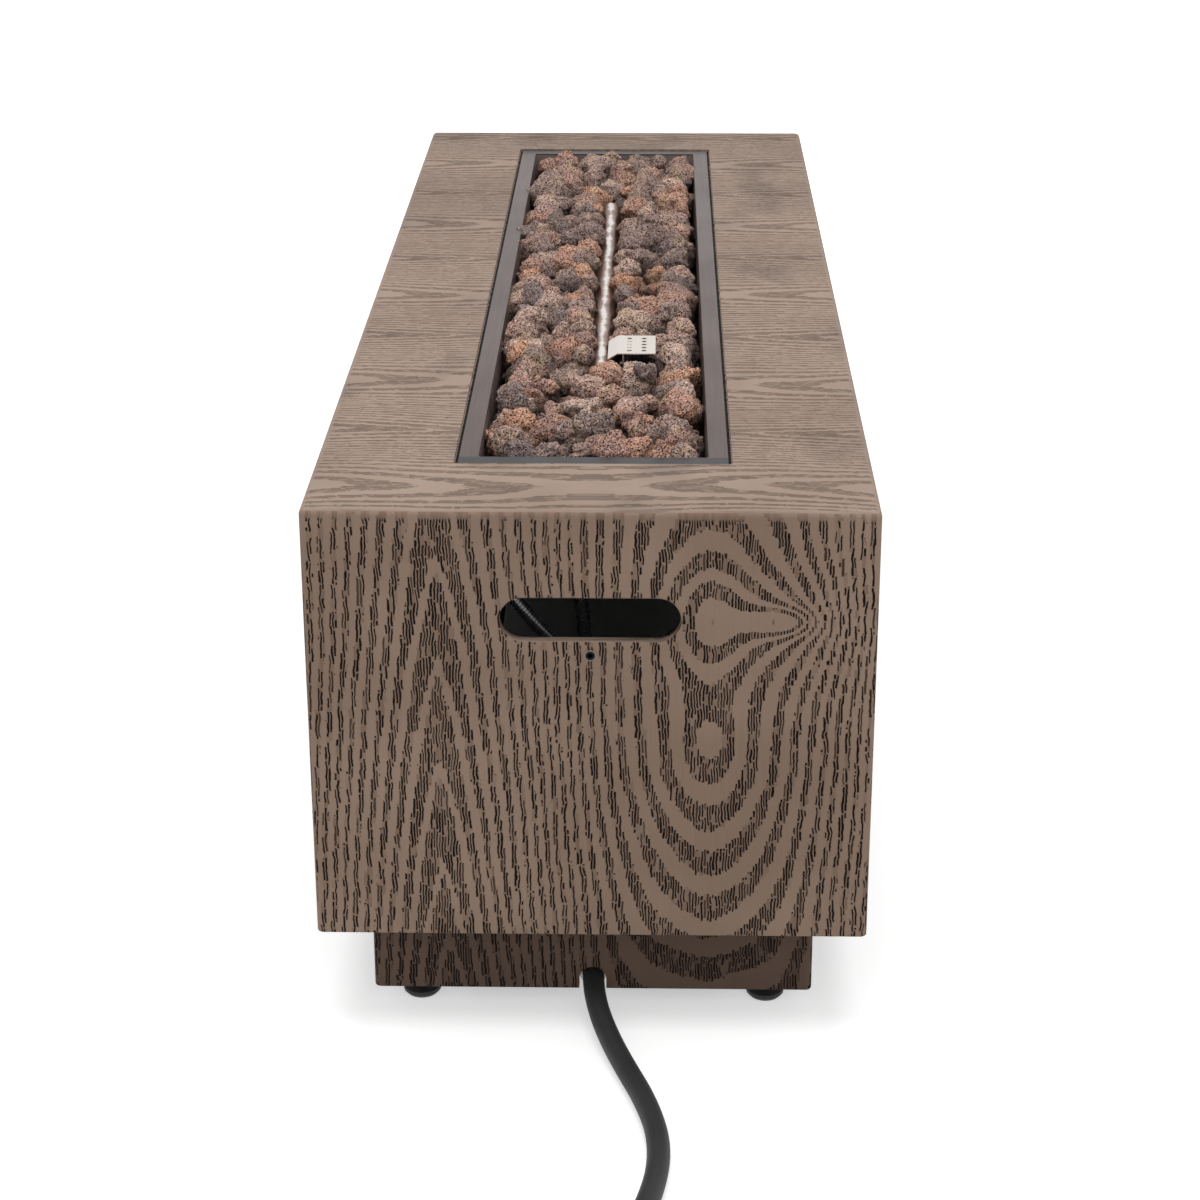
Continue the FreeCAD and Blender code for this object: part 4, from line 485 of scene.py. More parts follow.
def wood_grain(name, node_name, light, dark, between, pore):
    """A moulded and stained wood grain. Its pores stop short of the upper edge; the inside and rebate gap are
    painted shade.
    """
    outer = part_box(node_name)[1]
    f = Finish(name, roughness=0.6, specular_ior_level=0.08)
    _, (x, y, z) = f.place()
    across, along, on_top = on_grain(f, x, y, z)
    stroke, wash = strokes_on(f, across, along, on_top)

    # No stroke reaches the upper edge or the rim of the top
    below_edge = (1 - f.ease(z, outer.z - full_edge, outer.z - bare_edge)) * (1 - on_top)
    off_ends = 1 - f.ease(abs(x), half_length - full_rim, half_length - bare_rim)
    off_sides = 1 - f.ease(abs(y), half_width - full_rim, half_width - bare_rim)
    pores = stroke * (below_edge + on_top * (off_ends * off_sides))

    # Colours: patches and fine streaks below the strokes, a little smoke and a painted sheen on the top, and
    # painted shade inside and in the rebate gap
    patches = f.cloud(f.point(x * 5, y * 5, z * 5), 1.0, 3.0, 0.6)
    smoke = f.ease(f.cloud(f.point(x * 6.5, y * 9, 3.0), 1.0, 2.0), 0.52, 0.72) * on_top
    streaks = f.cloud(f.point(across * 700, along * 18, on_top * 3.0), 1.0, 2.0)
    tone = f.ease(patches, 0.30, 0.72) * 0.62 + streaks * 0.38
    surface = f.blend(f.blend(light, dark, tone), pore, smoke * 0.36)
    # A painted sheen lightens the top
    surface = f.blend(surface, paint(196, 184, 176), on_top * 0.12)
    # Painted light: the stain and the strokes fade on the top, where the light washes over them
    top_light_wash = 1 - on_top * (1 - top_contrast)
    colour = f.blend(f.blend(surface, between, wash * top_light_wash), pore, pores * top_light_wash)
    # Painted shade: near-black inside the casing and in the rebate gap round the pan
    inner_x, inner_y = outer.x - shell_wall + inside_shade_edge, outer.y - shell_wall + inside_shade_edge
    within = (abs(x) < inner_x) * (abs(y) < inner_y) * (z < top_z - shell_top)
    rebate_gap_shade = (abs(x - pan_middle) < rebate_half_x) * (abs(y) < rebate_half_y) * (z > top_z - rebate_from)
    colour = f.blend(colour, inside_shade_colour, within.math("MAXIMUM", rebate_gap_shade))
    f.set(base_color=colour, roughness=0.56 + pores * 0.2 + (patches - 0.5) * 0.1)
    f.relief(1 - pores * (1 - on_top * 0.4) + streaks * 0.10, 0.0007, 0.85)
    return f


pan_low, pan_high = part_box("burner_pan")
pan_middle = (pan_low.x + pan_high.x) / 2
casing_finish = wood_grain("stained_wood_grain", "body_shell", light=paint(151, 130, 114),
                           dark=paint(126, 106, 92), between=paint(100, 78, 66), pore=paint(16, 9, 6))
# The plinth's grain is the casing's, painted darker for the shade under the casing's overhang
shaded_plinth_finish = wood_grain("shaded_plinth_wood_grain", "plinth", light=paint(104, 86, 74),
                           dark=paint(86, 70, 60), between=paint(60, 46, 39), pore=paint(20, 12, 9))
print("a grain for the casing and one for the plinth, strokes every", pore_pitch, "m")

# %% [markdown]
# ## Plain finishes
# The steel, brass, plastic and rubber of the pieces that the frame already holds. None is one flat colour:
# rolled steel has a faint grain, zinc a soft spangle, castings a fine roughness and rubber a dull bloom. Two
# functions give all the plain ones. The pan, the burner tube, the inserts and the knob have one each, because
# theirs change from place to place.

# %% Sheet metal, castings and plastic
def brushed(name, light, dark, roughness, run, metallic=1.0, depth=0.00004):
    """Sheet metal with a fine grain along one axis. run is the stretch of the pattern on each axis."""
    f = Finish(name, metallic=metallic)
    spot, (x, y, z) = f.place()
    lines = f.cloud(f.point(x * run[0], y * run[1], z * run[2]), 1.0, 3.0, 0.6)
    smudge = f.cloud(spot, 9.0, 3.0, 0.6)
    f.set(base_color=f.blend(light, dark, smudge * 0.6 + lines * 0.4),
          roughness=roughness + (lines - 0.5) * 0.12 + (smudge - 0.5) * 0.16)
    f.relief(lines, depth, 0.5)
    return f


def cast(name, light, dark, roughness, metallic=0.0, grain=900.0, depth=0.00010, **constants):
    """A cast, moulded or painted surface with a fine irregular skin."""
    f = Finish(name, metallic=metallic, **constants)
    spot, _ = f.place()
    skin = f.cloud(spot, grain, 2.0)
    bloom = f.cloud(spot, 26.0, 3.0, 0.6)
    f.set(base_color=f.blend(light, dark, f.ease(bloom, 0.25, 0.75)),
          roughness=roughness + (bloom - 0.5) * 0.16)
    f.relief(skin, depth, 0.5)
    return f


# %% The pan's steel
pan_half_length, pan_half_width = (pan_high.x - pan_low.x) / 2, (pan_high.y - pan_low.y) / 2
pan_flange = 0.0175
flange_skin = 0.0016  # what lies lower than this under the flange's top is wall or floor
edge_skin = 0.0001
pale_wall_depth, dark_wall_depth = 0.016, 0.036  # how far down the wall stays pale, and from where it is all dark


def rolled_steel(name, light, dark, edge, wall, floor_dark):
    """Brushed, with painted reflection on the flange's sides, painted shade on its ends and edge, and painted
    light walls.
    """
    f = Finish(name, metallic=0.6)
    spot, (x, y, z) = f.place()
    from_middle = abs(x - pan_middle)
    on_ends = from_middle > pan_half_length - pan_flange
    along_side = f.cloud(f.point(x * 12, y * 500, z * 200), 1.0, 3.0, 0.6)
    along_end = f.cloud(f.point(x * 500, y * 12, z * 200), 1.0, 3.0, 0.6)
    lines = along_end * on_ends + along_side * (1 - on_ends)
    smudge = f.cloud(spot, 7.0, 3.0, 0.6)
    past_ends, past_sides = from_middle > pan_half_length - edge_skin, abs(y) > pan_half_width - edge_skin
    turned_down_shade = past_ends.math("MAXIMUM", past_sides)
    below = z < pan_high.z - flange_skin
    # Painted light: the brown of the sides is a painted reflection of the rocks, and the ends are painted in
    # shade
    colour = f.blend(light, dark, smudge * 0.4 + lines * 0.3 + on_ends * 0.9)
    # The walls are painted light, and darker towards the floor
    down_wall = f.blend(floor_dark, wall, f.ease(z, pan_high.z - dark_wall_depth, pan_high.z - pale_wall_depth))
    colour = f.blend(colour, down_wall, below)
    # Painted shade: black where the flange turns down into the gap
    f.set(base_color=f.blend(colour, edge, turned_down_shade), metallic=0.6 * (1 - turned_down_shade) - below * 0.45,
          roughness=0.34 + (lines - 0.5) * 0.10 + (smudge - 0.5) * 0.20 + turned_down_shade * 0.4)
    f.relief(lines, 0.00004, 0.5)
    return f


# light is a painted warm reflection, dark also paints the shade on the ends, edge is painted shade in the gap,
# and wall is painted light
pan_steel = rolled_steel("black_pan_steel", light=paint(95, 74, 68), dark=paint(34, 30, 30),
                         edge=paint(4, 4, 4), wall=paint(116, 102, 98), floor_dark=paint(34, 29, 27))
print("the pan's flange is", pan_flange, "m wide")

# %% Plain metals
galvanised = brushed("galvanised_steel", paint(192, 194, 196), paint(160, 163, 166), 0.42, (60, 60, 60))
zinc = brushed("zinc_plate", paint(205, 203, 196), paint(172, 170, 160), 0.32, (300, 300, 300))
stainless = brushed("stainless_steel", paint(206, 200, 194), paint(170, 162, 156), 0.26, (18, 300, 300))
bright_steel = brushed("bright_steel", paint(232, 224, 216), paint(205, 196, 188), 0.30, (40, 500, 500))
brass = brushed("machined_brass", paint(206, 170, 104), paint(176, 140, 80), 0.30, (250, 250, 250))
copper = brushed("copper_tube", paint(196, 128, 96), paint(150, 92, 66), 0.34, (200, 200, 200))
crimp = brushed("crimped_steel", paint(190, 188, 184), paint(150, 148, 144), 0.34, (400, 200, 200))
zinc_cast = cast("die_cast_zinc", paint(176, 178, 180), paint(150, 152, 154), 0.42, 0.85, 700.0, 0.00016)
print("zinc, stainless and bright steel, brass and copper")


# %% The burner tube and the inserts
def tube_with_painted_reflection():
    """The burner tube: bare steel on its crown, with painted reflections of the rocks, brown, down its sides.
    """
    f = Finish("painted_reflection_tube", metallic=1.0)
    spot, (x, y, z) = f.place()
    wander = (f.cloud(f.point(x * 20, 0.0, 0.0), 1.0, 4.0, 0.6) - 0.5) * 0.010
    spread = f.ease(f.cloud(f.point(x * 24, 5.0, 0.0), 1.0, 4.0, 0.6), 0.3, 0.7) * 0.0045
    down = abs(y + wander) - spread
    soot_spots = f.cloud(f.point(x * 70, y * 160, z * 160), 1.0, 3.0, 0.6)
    # Painted reflections of the rocks: brown down the tube's sides, darker further down
    side_reflection = f.blend(paint(228, 221, 217), paint(148, 119, 106), f.ease(down, -0.0020, 0.0016))
    colour = f.blend(side_reflection, paint(96, 70, 60), f.ease(down, 0.0, 0.0055) * (0.5 + soot_spots * 0.6))
    f.set(base_color=colour, roughness=0.22 + soot_spots * 0.2)
    f.relief(soot_spots, 0.0004, 0.6)
    return f


def insert_steel():
    """The threaded inserts: dark within a bright rim."""
    low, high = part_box("threaded_inserts")
    f = Finish("threaded_insert", metallic=0.7, roughness=0.4)
    _, (x, y, z) = f.place()
    off_y, off_z = y - (low.y + high.y) / 2, z - (low.z + high.z) / 2
    rim = (high.z - low.z) / 2
    f.set(base_color=f.blend(paint(20, 18, 17), paint(132, 122, 114),
                             f.ease((off_y * off_y + off_z * off_z) ** 0.5, rim - 0.0009, rim - 0.0005)))
    return f


# The tube's sides carry painted reflections of the rocks
tube_steel, threaded = tube_with_painted_reflection(), insert_steel()
print("the burner tube is stained by heat, and the inserts have a bright rim")

# %% Paint, ceramic, plastic and rubber
black_paint = cast("black_painted_steel", paint(46, 46, 47), paint(36, 36, 37), 0.55)
ceramic = cast("glazed_ceramic", paint(238, 235, 226), paint(226, 221, 208), 0.18, grain=200.0)
button_black = cast("button_plastic", paint(44, 44, 45), paint(34, 34, 35), 0.36)
dull_black = cast("black_plastic", paint(42, 42, 43), paint(33, 33, 34), 0.58)
battery_wrap = cast("battery_wrap", paint(116, 118, 122), paint(102, 104, 108), 0.35, 0.3)
foot_rubber = cast("foot_rubber", paint(34, 33, 33), paint(26, 25, 25), 0.5)
hose_rubber = cast("hose_rubber", paint(40, 40, 41), paint(29, 29, 30), 0.62, grain=500.0, depth=0.0002)
strap_weave = cast("strap_weave", paint(38, 38, 39), paint(26, 26, 27), 0.8, grain=1400.0, depth=0.0004)
lead_jacket = cast("lead_jacket", paint(58, 56, 54), paint(44, 42, 41), 0.5)
flex_black = cast("gas_line_jacket", paint(128, 128, 130), paint(104, 104, 106), 0.28, 0.8, coat_weight=0.6)
print("black paint, ceramic, plastic, rubber and the gas lines' jacket")

# %% The knob
pointer_half, pointer_from, pointer_to = 0.0012, 0.003, 0.0156  # in metres, from the knob's axis


def knob_plastic():
    """The knob: black plastic with its pointer groove filled with white paint."""
    low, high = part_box("control_knob")
    f = Finish("knob_plastic", roughness=0.36)
    spot, (x, y, z) = f.place()
    up = z - (low.z + high.z) / 2
    on_line = abs(x - (low.x + high.x) / 2) < pointer_half
    pointer = on_line * (up > pointer_from) * (up < pointer_to) * (y < low.y + 0.003)
    bloom = f.cloud(spot, 26.0, 3.0, 0.6)
    plastic = f.blend(paint(44, 44, 45), paint(34, 34, 35), bloom)
    return f.set(base_color=f.blend(plastic, paint(216, 214, 210), pointer), roughness=0.30 + bloom * 0.14)


knob_black = knob_plastic()
print("the knob's pointer is white for", round(pointer_to - pointer_from, 4), "m")

# %% [markdown]
# ## The lava rocks
# Lava rock is frothy stone broken into angular lumps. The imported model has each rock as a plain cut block, so
# that it rests where it does. Those blocks are the start here: each is taken from the bed, turned a little
# about its middle so that neighbours no longer lie face to face, and given its own tint. More stones are laid
# along the burner tube and the pan's walls, in low spots, and deep in the gaps where the pan's floor would
# show. Each is a ball of few faces, pressed out of round and cut flat on a few sides. All of them are joined
# into heaps and turned into an even skin of small faces, and three noises push that skin about: crags of a
# centimetre, hollows a little smaller, and a fine crumble. The small pits are left to the finish.

# %% One rock
rock_tints = [(186, 154, 141), (206, 158, 138), (214, 162, 140), (226, 192, 174), (168, 142, 133),
              (222, 166, 134), (190, 151, 136), (146, 126, 121), (210, 173, 158), (194, 163, 150),
              (208, 166, 149), (174, 146, 137)]
dice = random.Random(41)
most_turn = 0.5
flats = 6


def tinted(rock):
    """Gives a rock one tint of its own."""
    mesh = rock.data
    tint = [(level / 255) ** 2.2 for level in dice.choice(rock_tints)] + [1.0]
    layer = mesh.color_attributes.new("tint", "FLOAT_COLOR", "POINT")
    layer.data.foreach_set("color", tint * len(mesh.vertices))
    return rock


def turned_block(block):
    """A block of the bed, turned and pressed a little about its middle."""
    middle = sum((v.co for v in block.data.vertices), Vector()) / len(block.data.vertices)
    bpy.ops.object.select_all(action="DESELECT")
    block.select_set(True)
    bpy.context.view_layer.objects.active = block
    bpy.ops.object.mode_set(mode="EDIT")
    bpy.ops.mesh.select_all(action="SELECT")
    bpy.ops.mesh.dissolve_limited(angle_limit=math.radians(2))
    for axis in "XYZ":
        turn_by = dice.uniform(-most_turn, most_turn)
        bpy.ops.transform.rotate(value=turn_by, orient_axis=axis, center_override=middle)
    grown = [dice.uniform(0.90, 1.04) for _ in range(3)]
    bpy.ops.transform.resize(value=grown, center_override=middle)
    bpy.ops.object.mode_set(mode="OBJECT")
    return tinted(block)


def stone(x, y, z, size):
    """A loose stone: a ball of few faces, out of round, with flats cut on it."""
    bpy.ops.object.select_all(action="DESELECT")
    stretch = [dice.uniform(0.85, 1.35), dice.uniform(0.85, 1.15), dice.uniform(0.70, 0.95)]
    turned = [dice.uniform(0, 6.28) for _ in range(3)]
    bpy.ops.mesh.primitive_ico_sphere_add(subdivisions=2, radius=size, location=(x, y, z), rotation=turned,
                                          scale=stretch)
    ball = bpy.context.object
    bpy.ops.object.transform_apply(location=True, rotation=True, scale=True)
    bpy.ops.object.mode_set(mode="EDIT")
    for _ in range(flats):
        way = Vector([dice.gauss(0, 1) for _ in range(3)]).normalized()
        bpy.ops.mesh.select_all(action="SELECT")
        bpy.ops.mesh.bisect(plane_co=Vector((x, y, z)) + way * size * dice.uniform(0.55, 0.9), plane_no=way,
                            use_fill=True, clear_outer=True)
    bpy.ops.object.mode_set(mode="OBJECT")
    return tinted(ball)


# %% A heap of rocks
heap_size = 34
skin_step = 0.0016
rock_crease = math.radians(38)


def noise_of(kind, size, **settings):
    """A noise texture for a Displace modifier."""
    texture = bpy.data.textures.new("rock_" + kind.lower(), kind)
    texture.noise_scale = size
    for key, value in settings.items():
        setattr(texture, key, value)
    return texture


crags = noise_of("MUSGRAVE", 0.012, musgrave_type="RIDGED_MULTIFRACTAL", octaves=5, lacunarity=2.1,
                 dimension_max=0.8)
hollows = noise_of("VORONOI", 0.0075, weight_1=1.0, noise_intensity=1.0)
crumble = noise_of("CLOUDS", 0.0032, noise_depth=2)
pushes = ((crags, 0.0016, 0.60), (hollows, 0.0034, 0.40), (crumble, 0.0012, 0.5))  # depth, and the level kept


def heap_of(name, rocks):
    """Joins rocks into one piece and roughens its skin."""
    bpy.ops.object.select_all(action="DESELECT")
    for rock in rocks:
        rock.select_set(True)
    bpy.context.view_layer.objects.active = rocks[0]
    bpy.ops.object.join()
    heap = bpy.context.object
    heap.name = heap.data.name = name
    heap.data.materials.clear()
    heap.data.remesh_voxel_size = skin_step
    heap.data.use_remesh_preserve_attributes = True
    bpy.ops.object.voxel_remesh()
    for texture, depth, level in pushes:
        push = heap.modifiers.new(texture.name, "DISPLACE")
        push.texture, push.strength, push.mid_level = texture, depth, level
        push.texture_coords = "LOCAL"
        bpy.ops.object.modifier_apply(modifier=push.name)
    bpy.ops.object.shade_smooth_by_angle(angle=rock_crease)
    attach(heap, "root")
    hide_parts("lava_rocks")
    print(name, len(rocks), "rocks,", len(heap.data.polygons), "faces")
    return heap


# %% The rocks of the bed
bed_mesh = nodes["lava_rocks"].data.copy()
whole_bed = BVHTree.FromPolygons([v.co for v in bed_mesh.vertices],
                                 [list(p.vertices) for p in bed_mesh.polygons])
bed = bpy.data.objects.new("bed", bed_mesh)
bpy.context.scene.collection.objects.link(bed)
bpy.ops.object.select_all(action="DESELECT")
bed.select_set(True)
bpy.context.view_layer.objects.active = bed
bpy.ops.object.mode_set(mode="EDIT")
bpy.ops.mesh.select_all(action="SELECT")
bpy.ops.mesh.remove_doubles(threshold=0.00001)
bpy.ops.mesh.separate(type="LOOSE")
bpy.ops.object.mode_set(mode="OBJECT")
blocks = sorted(bpy.context.selected_objects, key=lambda o: tuple(o.data.vertices[0].co))
rocks = [turned_block(block) for block in blocks]
print(len(rocks), "rocks in the bed")

# %% Where a loose stone may lie
tube_low, tube_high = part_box("burner_tube")
shield_low, shield_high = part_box("igniter_shield")
mouth_x, mouth_y = pan_half_length - pan_flange, pan_half_width - pan_flange
tries = range(500)
most_by_tube = 44
laid, laid_low = [], []
usual_size = 0.012  # of a stone that lies there already


def lay(x, y, z, size, apart=1.25):
    """Puts a loose stone down unless another lies there."""
    if all(math.hypot(x - a, y - b) > apart * (size + usual_size) for a, b in laid):
        laid.append((x, y))
        rocks.append(stone(x, y, z, size))


def by_shield(x, y):
    """Close to the igniter's shield, which stays in view."""
    return shield_low.x - 0.03 < x < shield_high.x + 0.03 and -0.02 < y < shield_high.y + 0.02


def bed_height(x, y):
    """The height of the bed at a place, or None over a gap."""
    hit = whole_bed.ray_cast(Vector((x, y, pan_high.z + 0.1)), Vector((0, 0, -1)))[0]
    return hit.z if hit else None


# %% Stones over the tube's near end, beside the tube and along the walls
tube_covered = shield_high.x + 0.022
for past_shield, y, size in ((0.010, 0.006, 0.019), (0.040, -0.010, 0.020), (0.066, 0.012, 0.019)):
    lay(tube_covered + past_shield, y, tube_high.z + 0.001, size, 0.9)
for _ in tries:
    size = dice.uniform(0.013, 0.021)
    x = dice.uniform(tube_low.x - 0.01, tube_high.x + 0.03)
    side = dice.choice((-1, 1))
    y = side * (dice.uniform(0.015, 0.027) + size - 0.012)
    over_shield = shield_low.x - size * 1.4 < x < shield_high.x + size * 1.4 and y > -0.012
    if not over_shield and len(laid) < most_by_tube:
        lay(x, y, tube_high.z + dice.uniform(-0.005, 0.001), size)
for number in tries:
    size = dice.uniform(0.013, 0.024)
    room_y, room_x = mouth_y - size * 1.40, mouth_x - size * 1.45
    along = dice.uniform(-1, 1)
    side = dice.choice((-1, 1))
    along_side = number % 6
    x = pan_middle + room_x * (along if along_side else side)
    y = room_y * (side if along_side else along)
    lay(x, y, pan_high.z + 0.008 - size * dice.uniform(0.9, 1.2), size, 1.15)
print(len(laid), "stones by the tube and the walls")

# %% Stones in low spots, and deep in the gaps
for _ in tries:
    size = dice.uniform(0.009, 0.015)
    x, y = dice.uniform(pan_low.x + 0.045, pan_high.x - 0.045), dice.uniform(-0.083, 0.083)
    beside_tube = abs(y) < 0.034 and tube_low.x - 0.02 < x < tube_high.x + 0.02
    height = bed_height(x, y)
    low_spot = height is not None and height < pan_high.z - 0.001
    if low_spot and not beside_tube and not by_shield(x, y):
        lay(x, y, height + size * 0.55, size, 1.1)
for _ in range(700):
    size = dice.uniform(0.012, 0.017)
    x = pan_middle + dice.uniform(-1, 1) * (mouth_x - size * 1.5)
    y = dice.uniform(-1, 1) * (mouth_y - size * 1.5)
    over_tube = abs(y) < 0.015 + size and tube_low.x - size < x < tube_high.x + size
    in_gap = bed_height(x, y) is None and not over_tube and not by_shield(x, y)
    room = all(math.hypot(x - a, y - b) > 0.022 for a, b in laid_low)
    if in_gap and room:
        laid_low.append((x, y))
        rocks.append(stone(x, y, tube_low.z + dice.uniform(0.000, 0.008), size))
print(len(laid), "loose stones and", len(laid_low), "deep in the gaps")

# %% The heaps
rocks.sort(key=lambda rock: rock.data.vertices[0].co.x)
heaps = [heap_of("lava_rocks_%d" % (k // heap_size + 1), rocks[k:k + heap_size])
         for k in range(0, len(rocks), heap_size)]


# %% The rocks' finish
def lava_rock():
    """The rock's own tint, patches and grains, painted shade and soot deep down, and two sizes of pits painted
    dark.
    """
    f = Finish("lava_rock", roughness=0.9, specular_ior_level=0.25)
    spot, (x, y, z) = f.place()
    grains = f.cloud(spot, 520.0, 3.0, 0.7)
    patch = f.cloud(spot, 34.0, 2.0, 0.5)
    skin = f.node("VertexColor", {"layer_name": "tint"}, {}, "Color")
    skin = f.blend(skin, paint(214, 184, 150), f.ease(patch, 0.52, 0.68) * 0.45)
    skin = f.blend(skin, paint(150, 132, 130), (1 - f.ease(patch, 0.34, 0.48)) * 0.5)
    skin = f.blend(skin, paint(236, 216, 204), f.ease(grains, 0.52, 0.70) * 0.5)
    skin = f.blend(skin, paint(92, 68, 59), (1 - f.ease(grains, 0.36, 0.50)) * 0.55)

    # Painted shade and soot deep between the rocks, and painted shadow and soot under the igniter's shield
    skin = f.blend(skin, paint(36, 26, 23), (1 - f.ease(z, 0.486, 0.511)) * 0.86)
    shield_shadow = (x > shield_low.x - 0.045) * (x < shield_high.x) * (z < shield_low.z - 0.008)
    shield_shadow = shield_shadow * (y > shield_low.y - 0.002) * (y < shield_high.y)
    skin = f.blend(skin, paint(16, 12, 10), shield_shadow * 0.95)

    # Pits: cells of a place that is pushed about a little, so that they aren't round, and painted dark for the
    # shade in them
    warp = f.cloud(spot, 300.0, 2.0)
    pushed = f.node("VectorMath", {"operation": "ADD"},
                    {0: spot, 1: f.point(warp * 0.003, warp * 0.002, warp * 0.003)}, "Vector")
    pits = f.ease(f.cells(pushed, 430.0), 0.18, 0.44)
    fine_pits = f.ease(f.cells(pushed, 900.0), 0.14, 0.50)
    solid = (0.04 + pits * 0.96) * (0.30 + fine_pits * 0.70)
    # The pits are painted dark, for the shade inside them
    f.set(base_color=f.blend(paint(20, 13, 11), skin, solid))
    f.relief(solid * 0.8 + grains * 0.4, 0.0024, 1.0)
    return f


rock_finish = lava_rock()
for heap in heaps:
    heap.data.materials.append(rock_finish.material)
print(len(heaps), "heaps")

# %% [markdown]
# ## The corrugated gas lines
# A flexible gas line is a thin tube with a rib every few millimetres, and the ribs are what shows through the
# handle slot. One rib is drawn as a ring that steps out and in again. An array repeats it to the length of
# the line, a curve bends the row along its route, and both are then applied.

# %% The gas lines' ribs and routes
line_radius, rib_pitch = 6.0 * mm, 3.2 * mm
groove = 0.84  # its radius, as a share of the line's
rib_sides = 14
rib_crease = math.radians(40)
weld = 0.0004  # ribs that meet within this are joined
rib_steps = ((0.22, 1 / groove), (0.30, 1.0), (0.22, groove), (0.26, 1.0))  # how far on, and how much wider
inlet_route = [(610, 0, 54), (610, 0, 405), (610, -44, 450), (607, -106, 451), (596, -164, 436),
               (566, -200, 412), (502, -206, 402), (439, -190.7, 384), (439, -190.7, 329)]
burner_route = [(439, -190.7, 271), (439, -190.7, 205), (471, -190.7, 159), (541, -190.7, 149),
                (609, -197, 177), (649, -202, 251), (655, -178, 364.5), (655, -162, 428.5),
                (655, -146, 449.5), (655, -123, 457.5), (655, -100, 449.5), (655, -24, 346.5),
                (655, 22, 348.5), (652, 70, 364.5), (639, 102, 384.5), (587, 112, 402.5), (505, 102, 408.5),
                (397, 72, 402.5), (265, 34, 396), (112, 0, 387), (20, 0, 387)]
print("a rib every", rib_pitch, "m")


# %% The gas lines
def corrugated(name, points, replaced):
    """A ribbed tube along a route in millimetres."""
    path = nurbs_through(name + "_path", [Vector(p) * mm for p in points])
    path.data.splines[0].resolution_u = 12
    bpy.ops.object.select_all(action="DESELECT")
    bpy.ops.mesh.primitive_circle_add(vertices=rib_sides, radius=line_radius * groove,
                                      rotation=(0, math.pi / 2, 0))
    piece = bpy.context.object
    piece.name = name
    bpy.ops.object.transform_apply(location=True, rotation=True, scale=True)
    bpy.ops.object.mode_set(mode="EDIT")
    bpy.ops.mesh.select_all(action="SELECT")
    for step, size in rib_steps:
        bpy.ops.mesh.extrude_region_move(TRANSFORM_OT_translate={"value": (step * rib_pitch, 0, 0)})
        bpy.ops.transform.resize(value=(1, size, size), center_override=(0, 0, 0))
    bpy.ops.object.mode_set(mode="OBJECT")
    length = path.data.splines[0].calc_length()
    row = piece.modifiers.new("ribs", "ARRAY")
    row.count = int(length / rib_pitch)
    row.use_relative_offset = False
    row.use_constant_offset = True
    row.constant_offset_displace = (length / row.count, 0, 0)
    row.use_merge_vertices = True
    row.merge_threshold = weld
    bend = piece.modifiers.new("route", "CURVE")
    bend.object = path
    bend.deform_axis = "POS_X"
    bpy.ops.object.modifier_apply(modifier="ribs")
    bpy.ops.object.modifier_apply(modifier="route")
    bpy.ops.object.shade_smooth_by_angle(angle=rib_crease)
    bpy.data.objects.remove(path)
    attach(piece, "root")
    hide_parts(replaced)
    piece.data.materials.append(flex_black.material)
    print(name, round(length, 3), "m,", len(piece.data.polygons), "faces")


corrugated("ribbed_inlet_line", inlet_route, "inlet_line")
corrugated("ribbed_burner_line", burner_route, "burner_line")

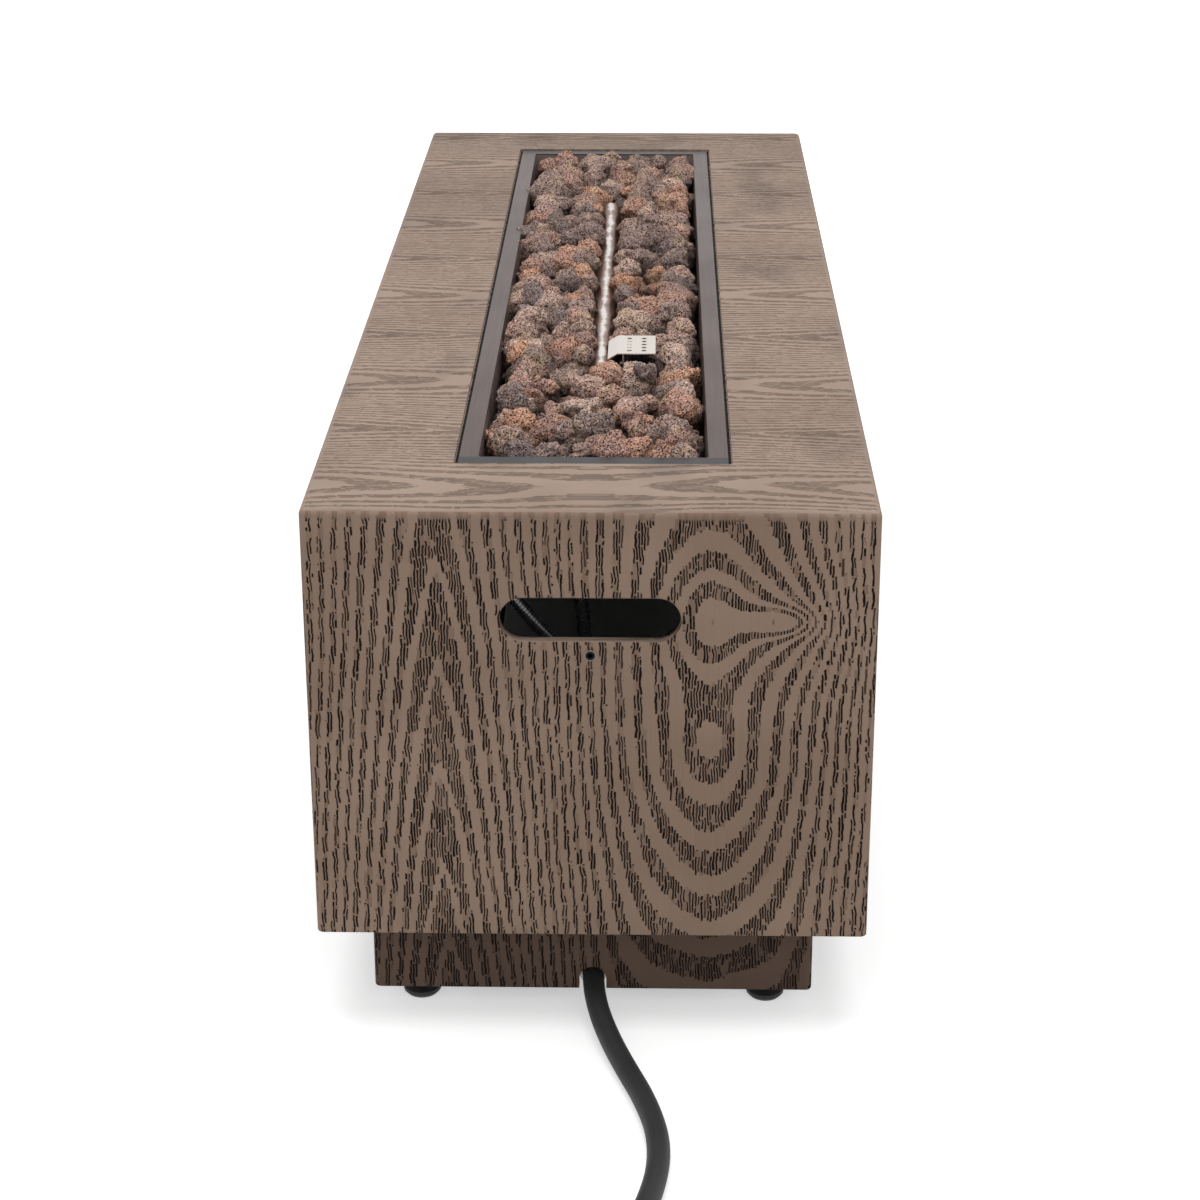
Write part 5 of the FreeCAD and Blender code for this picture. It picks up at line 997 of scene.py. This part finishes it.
# %% Dress the frame's own pieces
finish_of = {
    "body_shell": casing_finish, "plinth": shaded_plinth_finish, "base_pan": black_paint,
    "cutout_rails": black_paint, "frame_posts": black_paint, "plinth_cleats": black_paint,
    "foot_brackets": galvanised, "frame_screws": zinc, "threaded_inserts": threaded,
    "niche_screws": zinc, "igniter_terminals": zinc,
    "burner_pan": pan_steel, "burner_tube": tube_steel, "burner_cradles": stainless, "feed_pipe": stainless,
    "valve_stem": stainless, "air_mixer": brass, "gas_orifice": brass, "burner_elbow": brass,
    "valve_body": brass, "valve_plug": brass, "inlet_elbow": brass, "flare_nuts": brass,
    "igniter_shield": bright_steel, "igniter_bracket": bright_steel, "spark_electrode": bright_steel,
    "electrode_ceramic": ceramic, "flame_probe": copper, "probe_line": copper, "lava_rocks": rock_finish,
    "control_niche": black_paint, "control_knob": knob_black, "igniter_button": button_black,
    "igniter_module": dull_black, "igniter_nut": dull_black, "igniter_battery": battery_wrap,
    "inlet_line": flex_black, "burner_line": flex_black, "spark_lead": lead_jacket, "inlet_ferrule": crimp,
    "regulator_ferrule": crimp, "hose_ties": strap_weave, "regulator_body": zinc_cast,
    "regulator_cap": zinc_cast, "tank_nipple": dull_black, "tank_nut": dull_black,
    "gas_hose": hose_rubber, "gas_hose_coil": hose_rubber, "gas_hose_tail": hose_rubber,
}
for name, node in nodes.items():
    if name.startswith("foot_pad"):
        finish_of[name] = foot_rubber
    if name.startswith("foot_stud"):
        finish_of[name] = zinc
    node.data.materials.clear()
    node.data.materials.append(finish_of[name].material)
hose.data.materials.append(hose_rubber.material)
print(len(finish_of), "pieces dressed")

# %% [markdown]
# ## The floor
# A white sweep. The camera and shiny metal see it glow, less near the table, so that the soft shadow stays.
# Under the table it doesn't glow, because that would light the inside of the plinth.

# %% The floor
under_x, under_y = 0.595, 0.150  # the half length and width of the place where it doesn't glow
shadow_reach, white_from, shadow_glow = 0.9, 3.2, 0.46
bpy.ops.mesh.primitive_plane_add(size=40, location=(0, 0, 0))
floor = bpy.context.object
floor.name = "studio_floor"
white = Finish("white_floor", base_color=paint(232, 232, 232), roughness=0.9)
ground, (ground_x, ground_y, _) = white.place()
reach = white.node("VectorMath", {"operation": "LENGTH"}, {0: ground}, "Value")
off_table = (abs(ground_x) > under_x).math("MAXIMUM", abs(ground_y) > under_y)
level = white.ease(reach, shadow_reach, white_from, shadow_glow, 1.0) * off_table * white.seen_straight()
glow = white.node("Emission", {}, {"Strength": level}, "Emission")
surface = white.node("AddShader", {}, {0: Signal(white, white.shader.outputs["BSDF"]), 1: glow})
white.feed(white.nodes["Material Output"].inputs["Surface"], surface)
floor.data.materials.append(white.material)
print("floor", round(floor.dimensions.x), "m across")

# %% Finish
bpy.context.scene.view_settings.view_transform = "Standard"
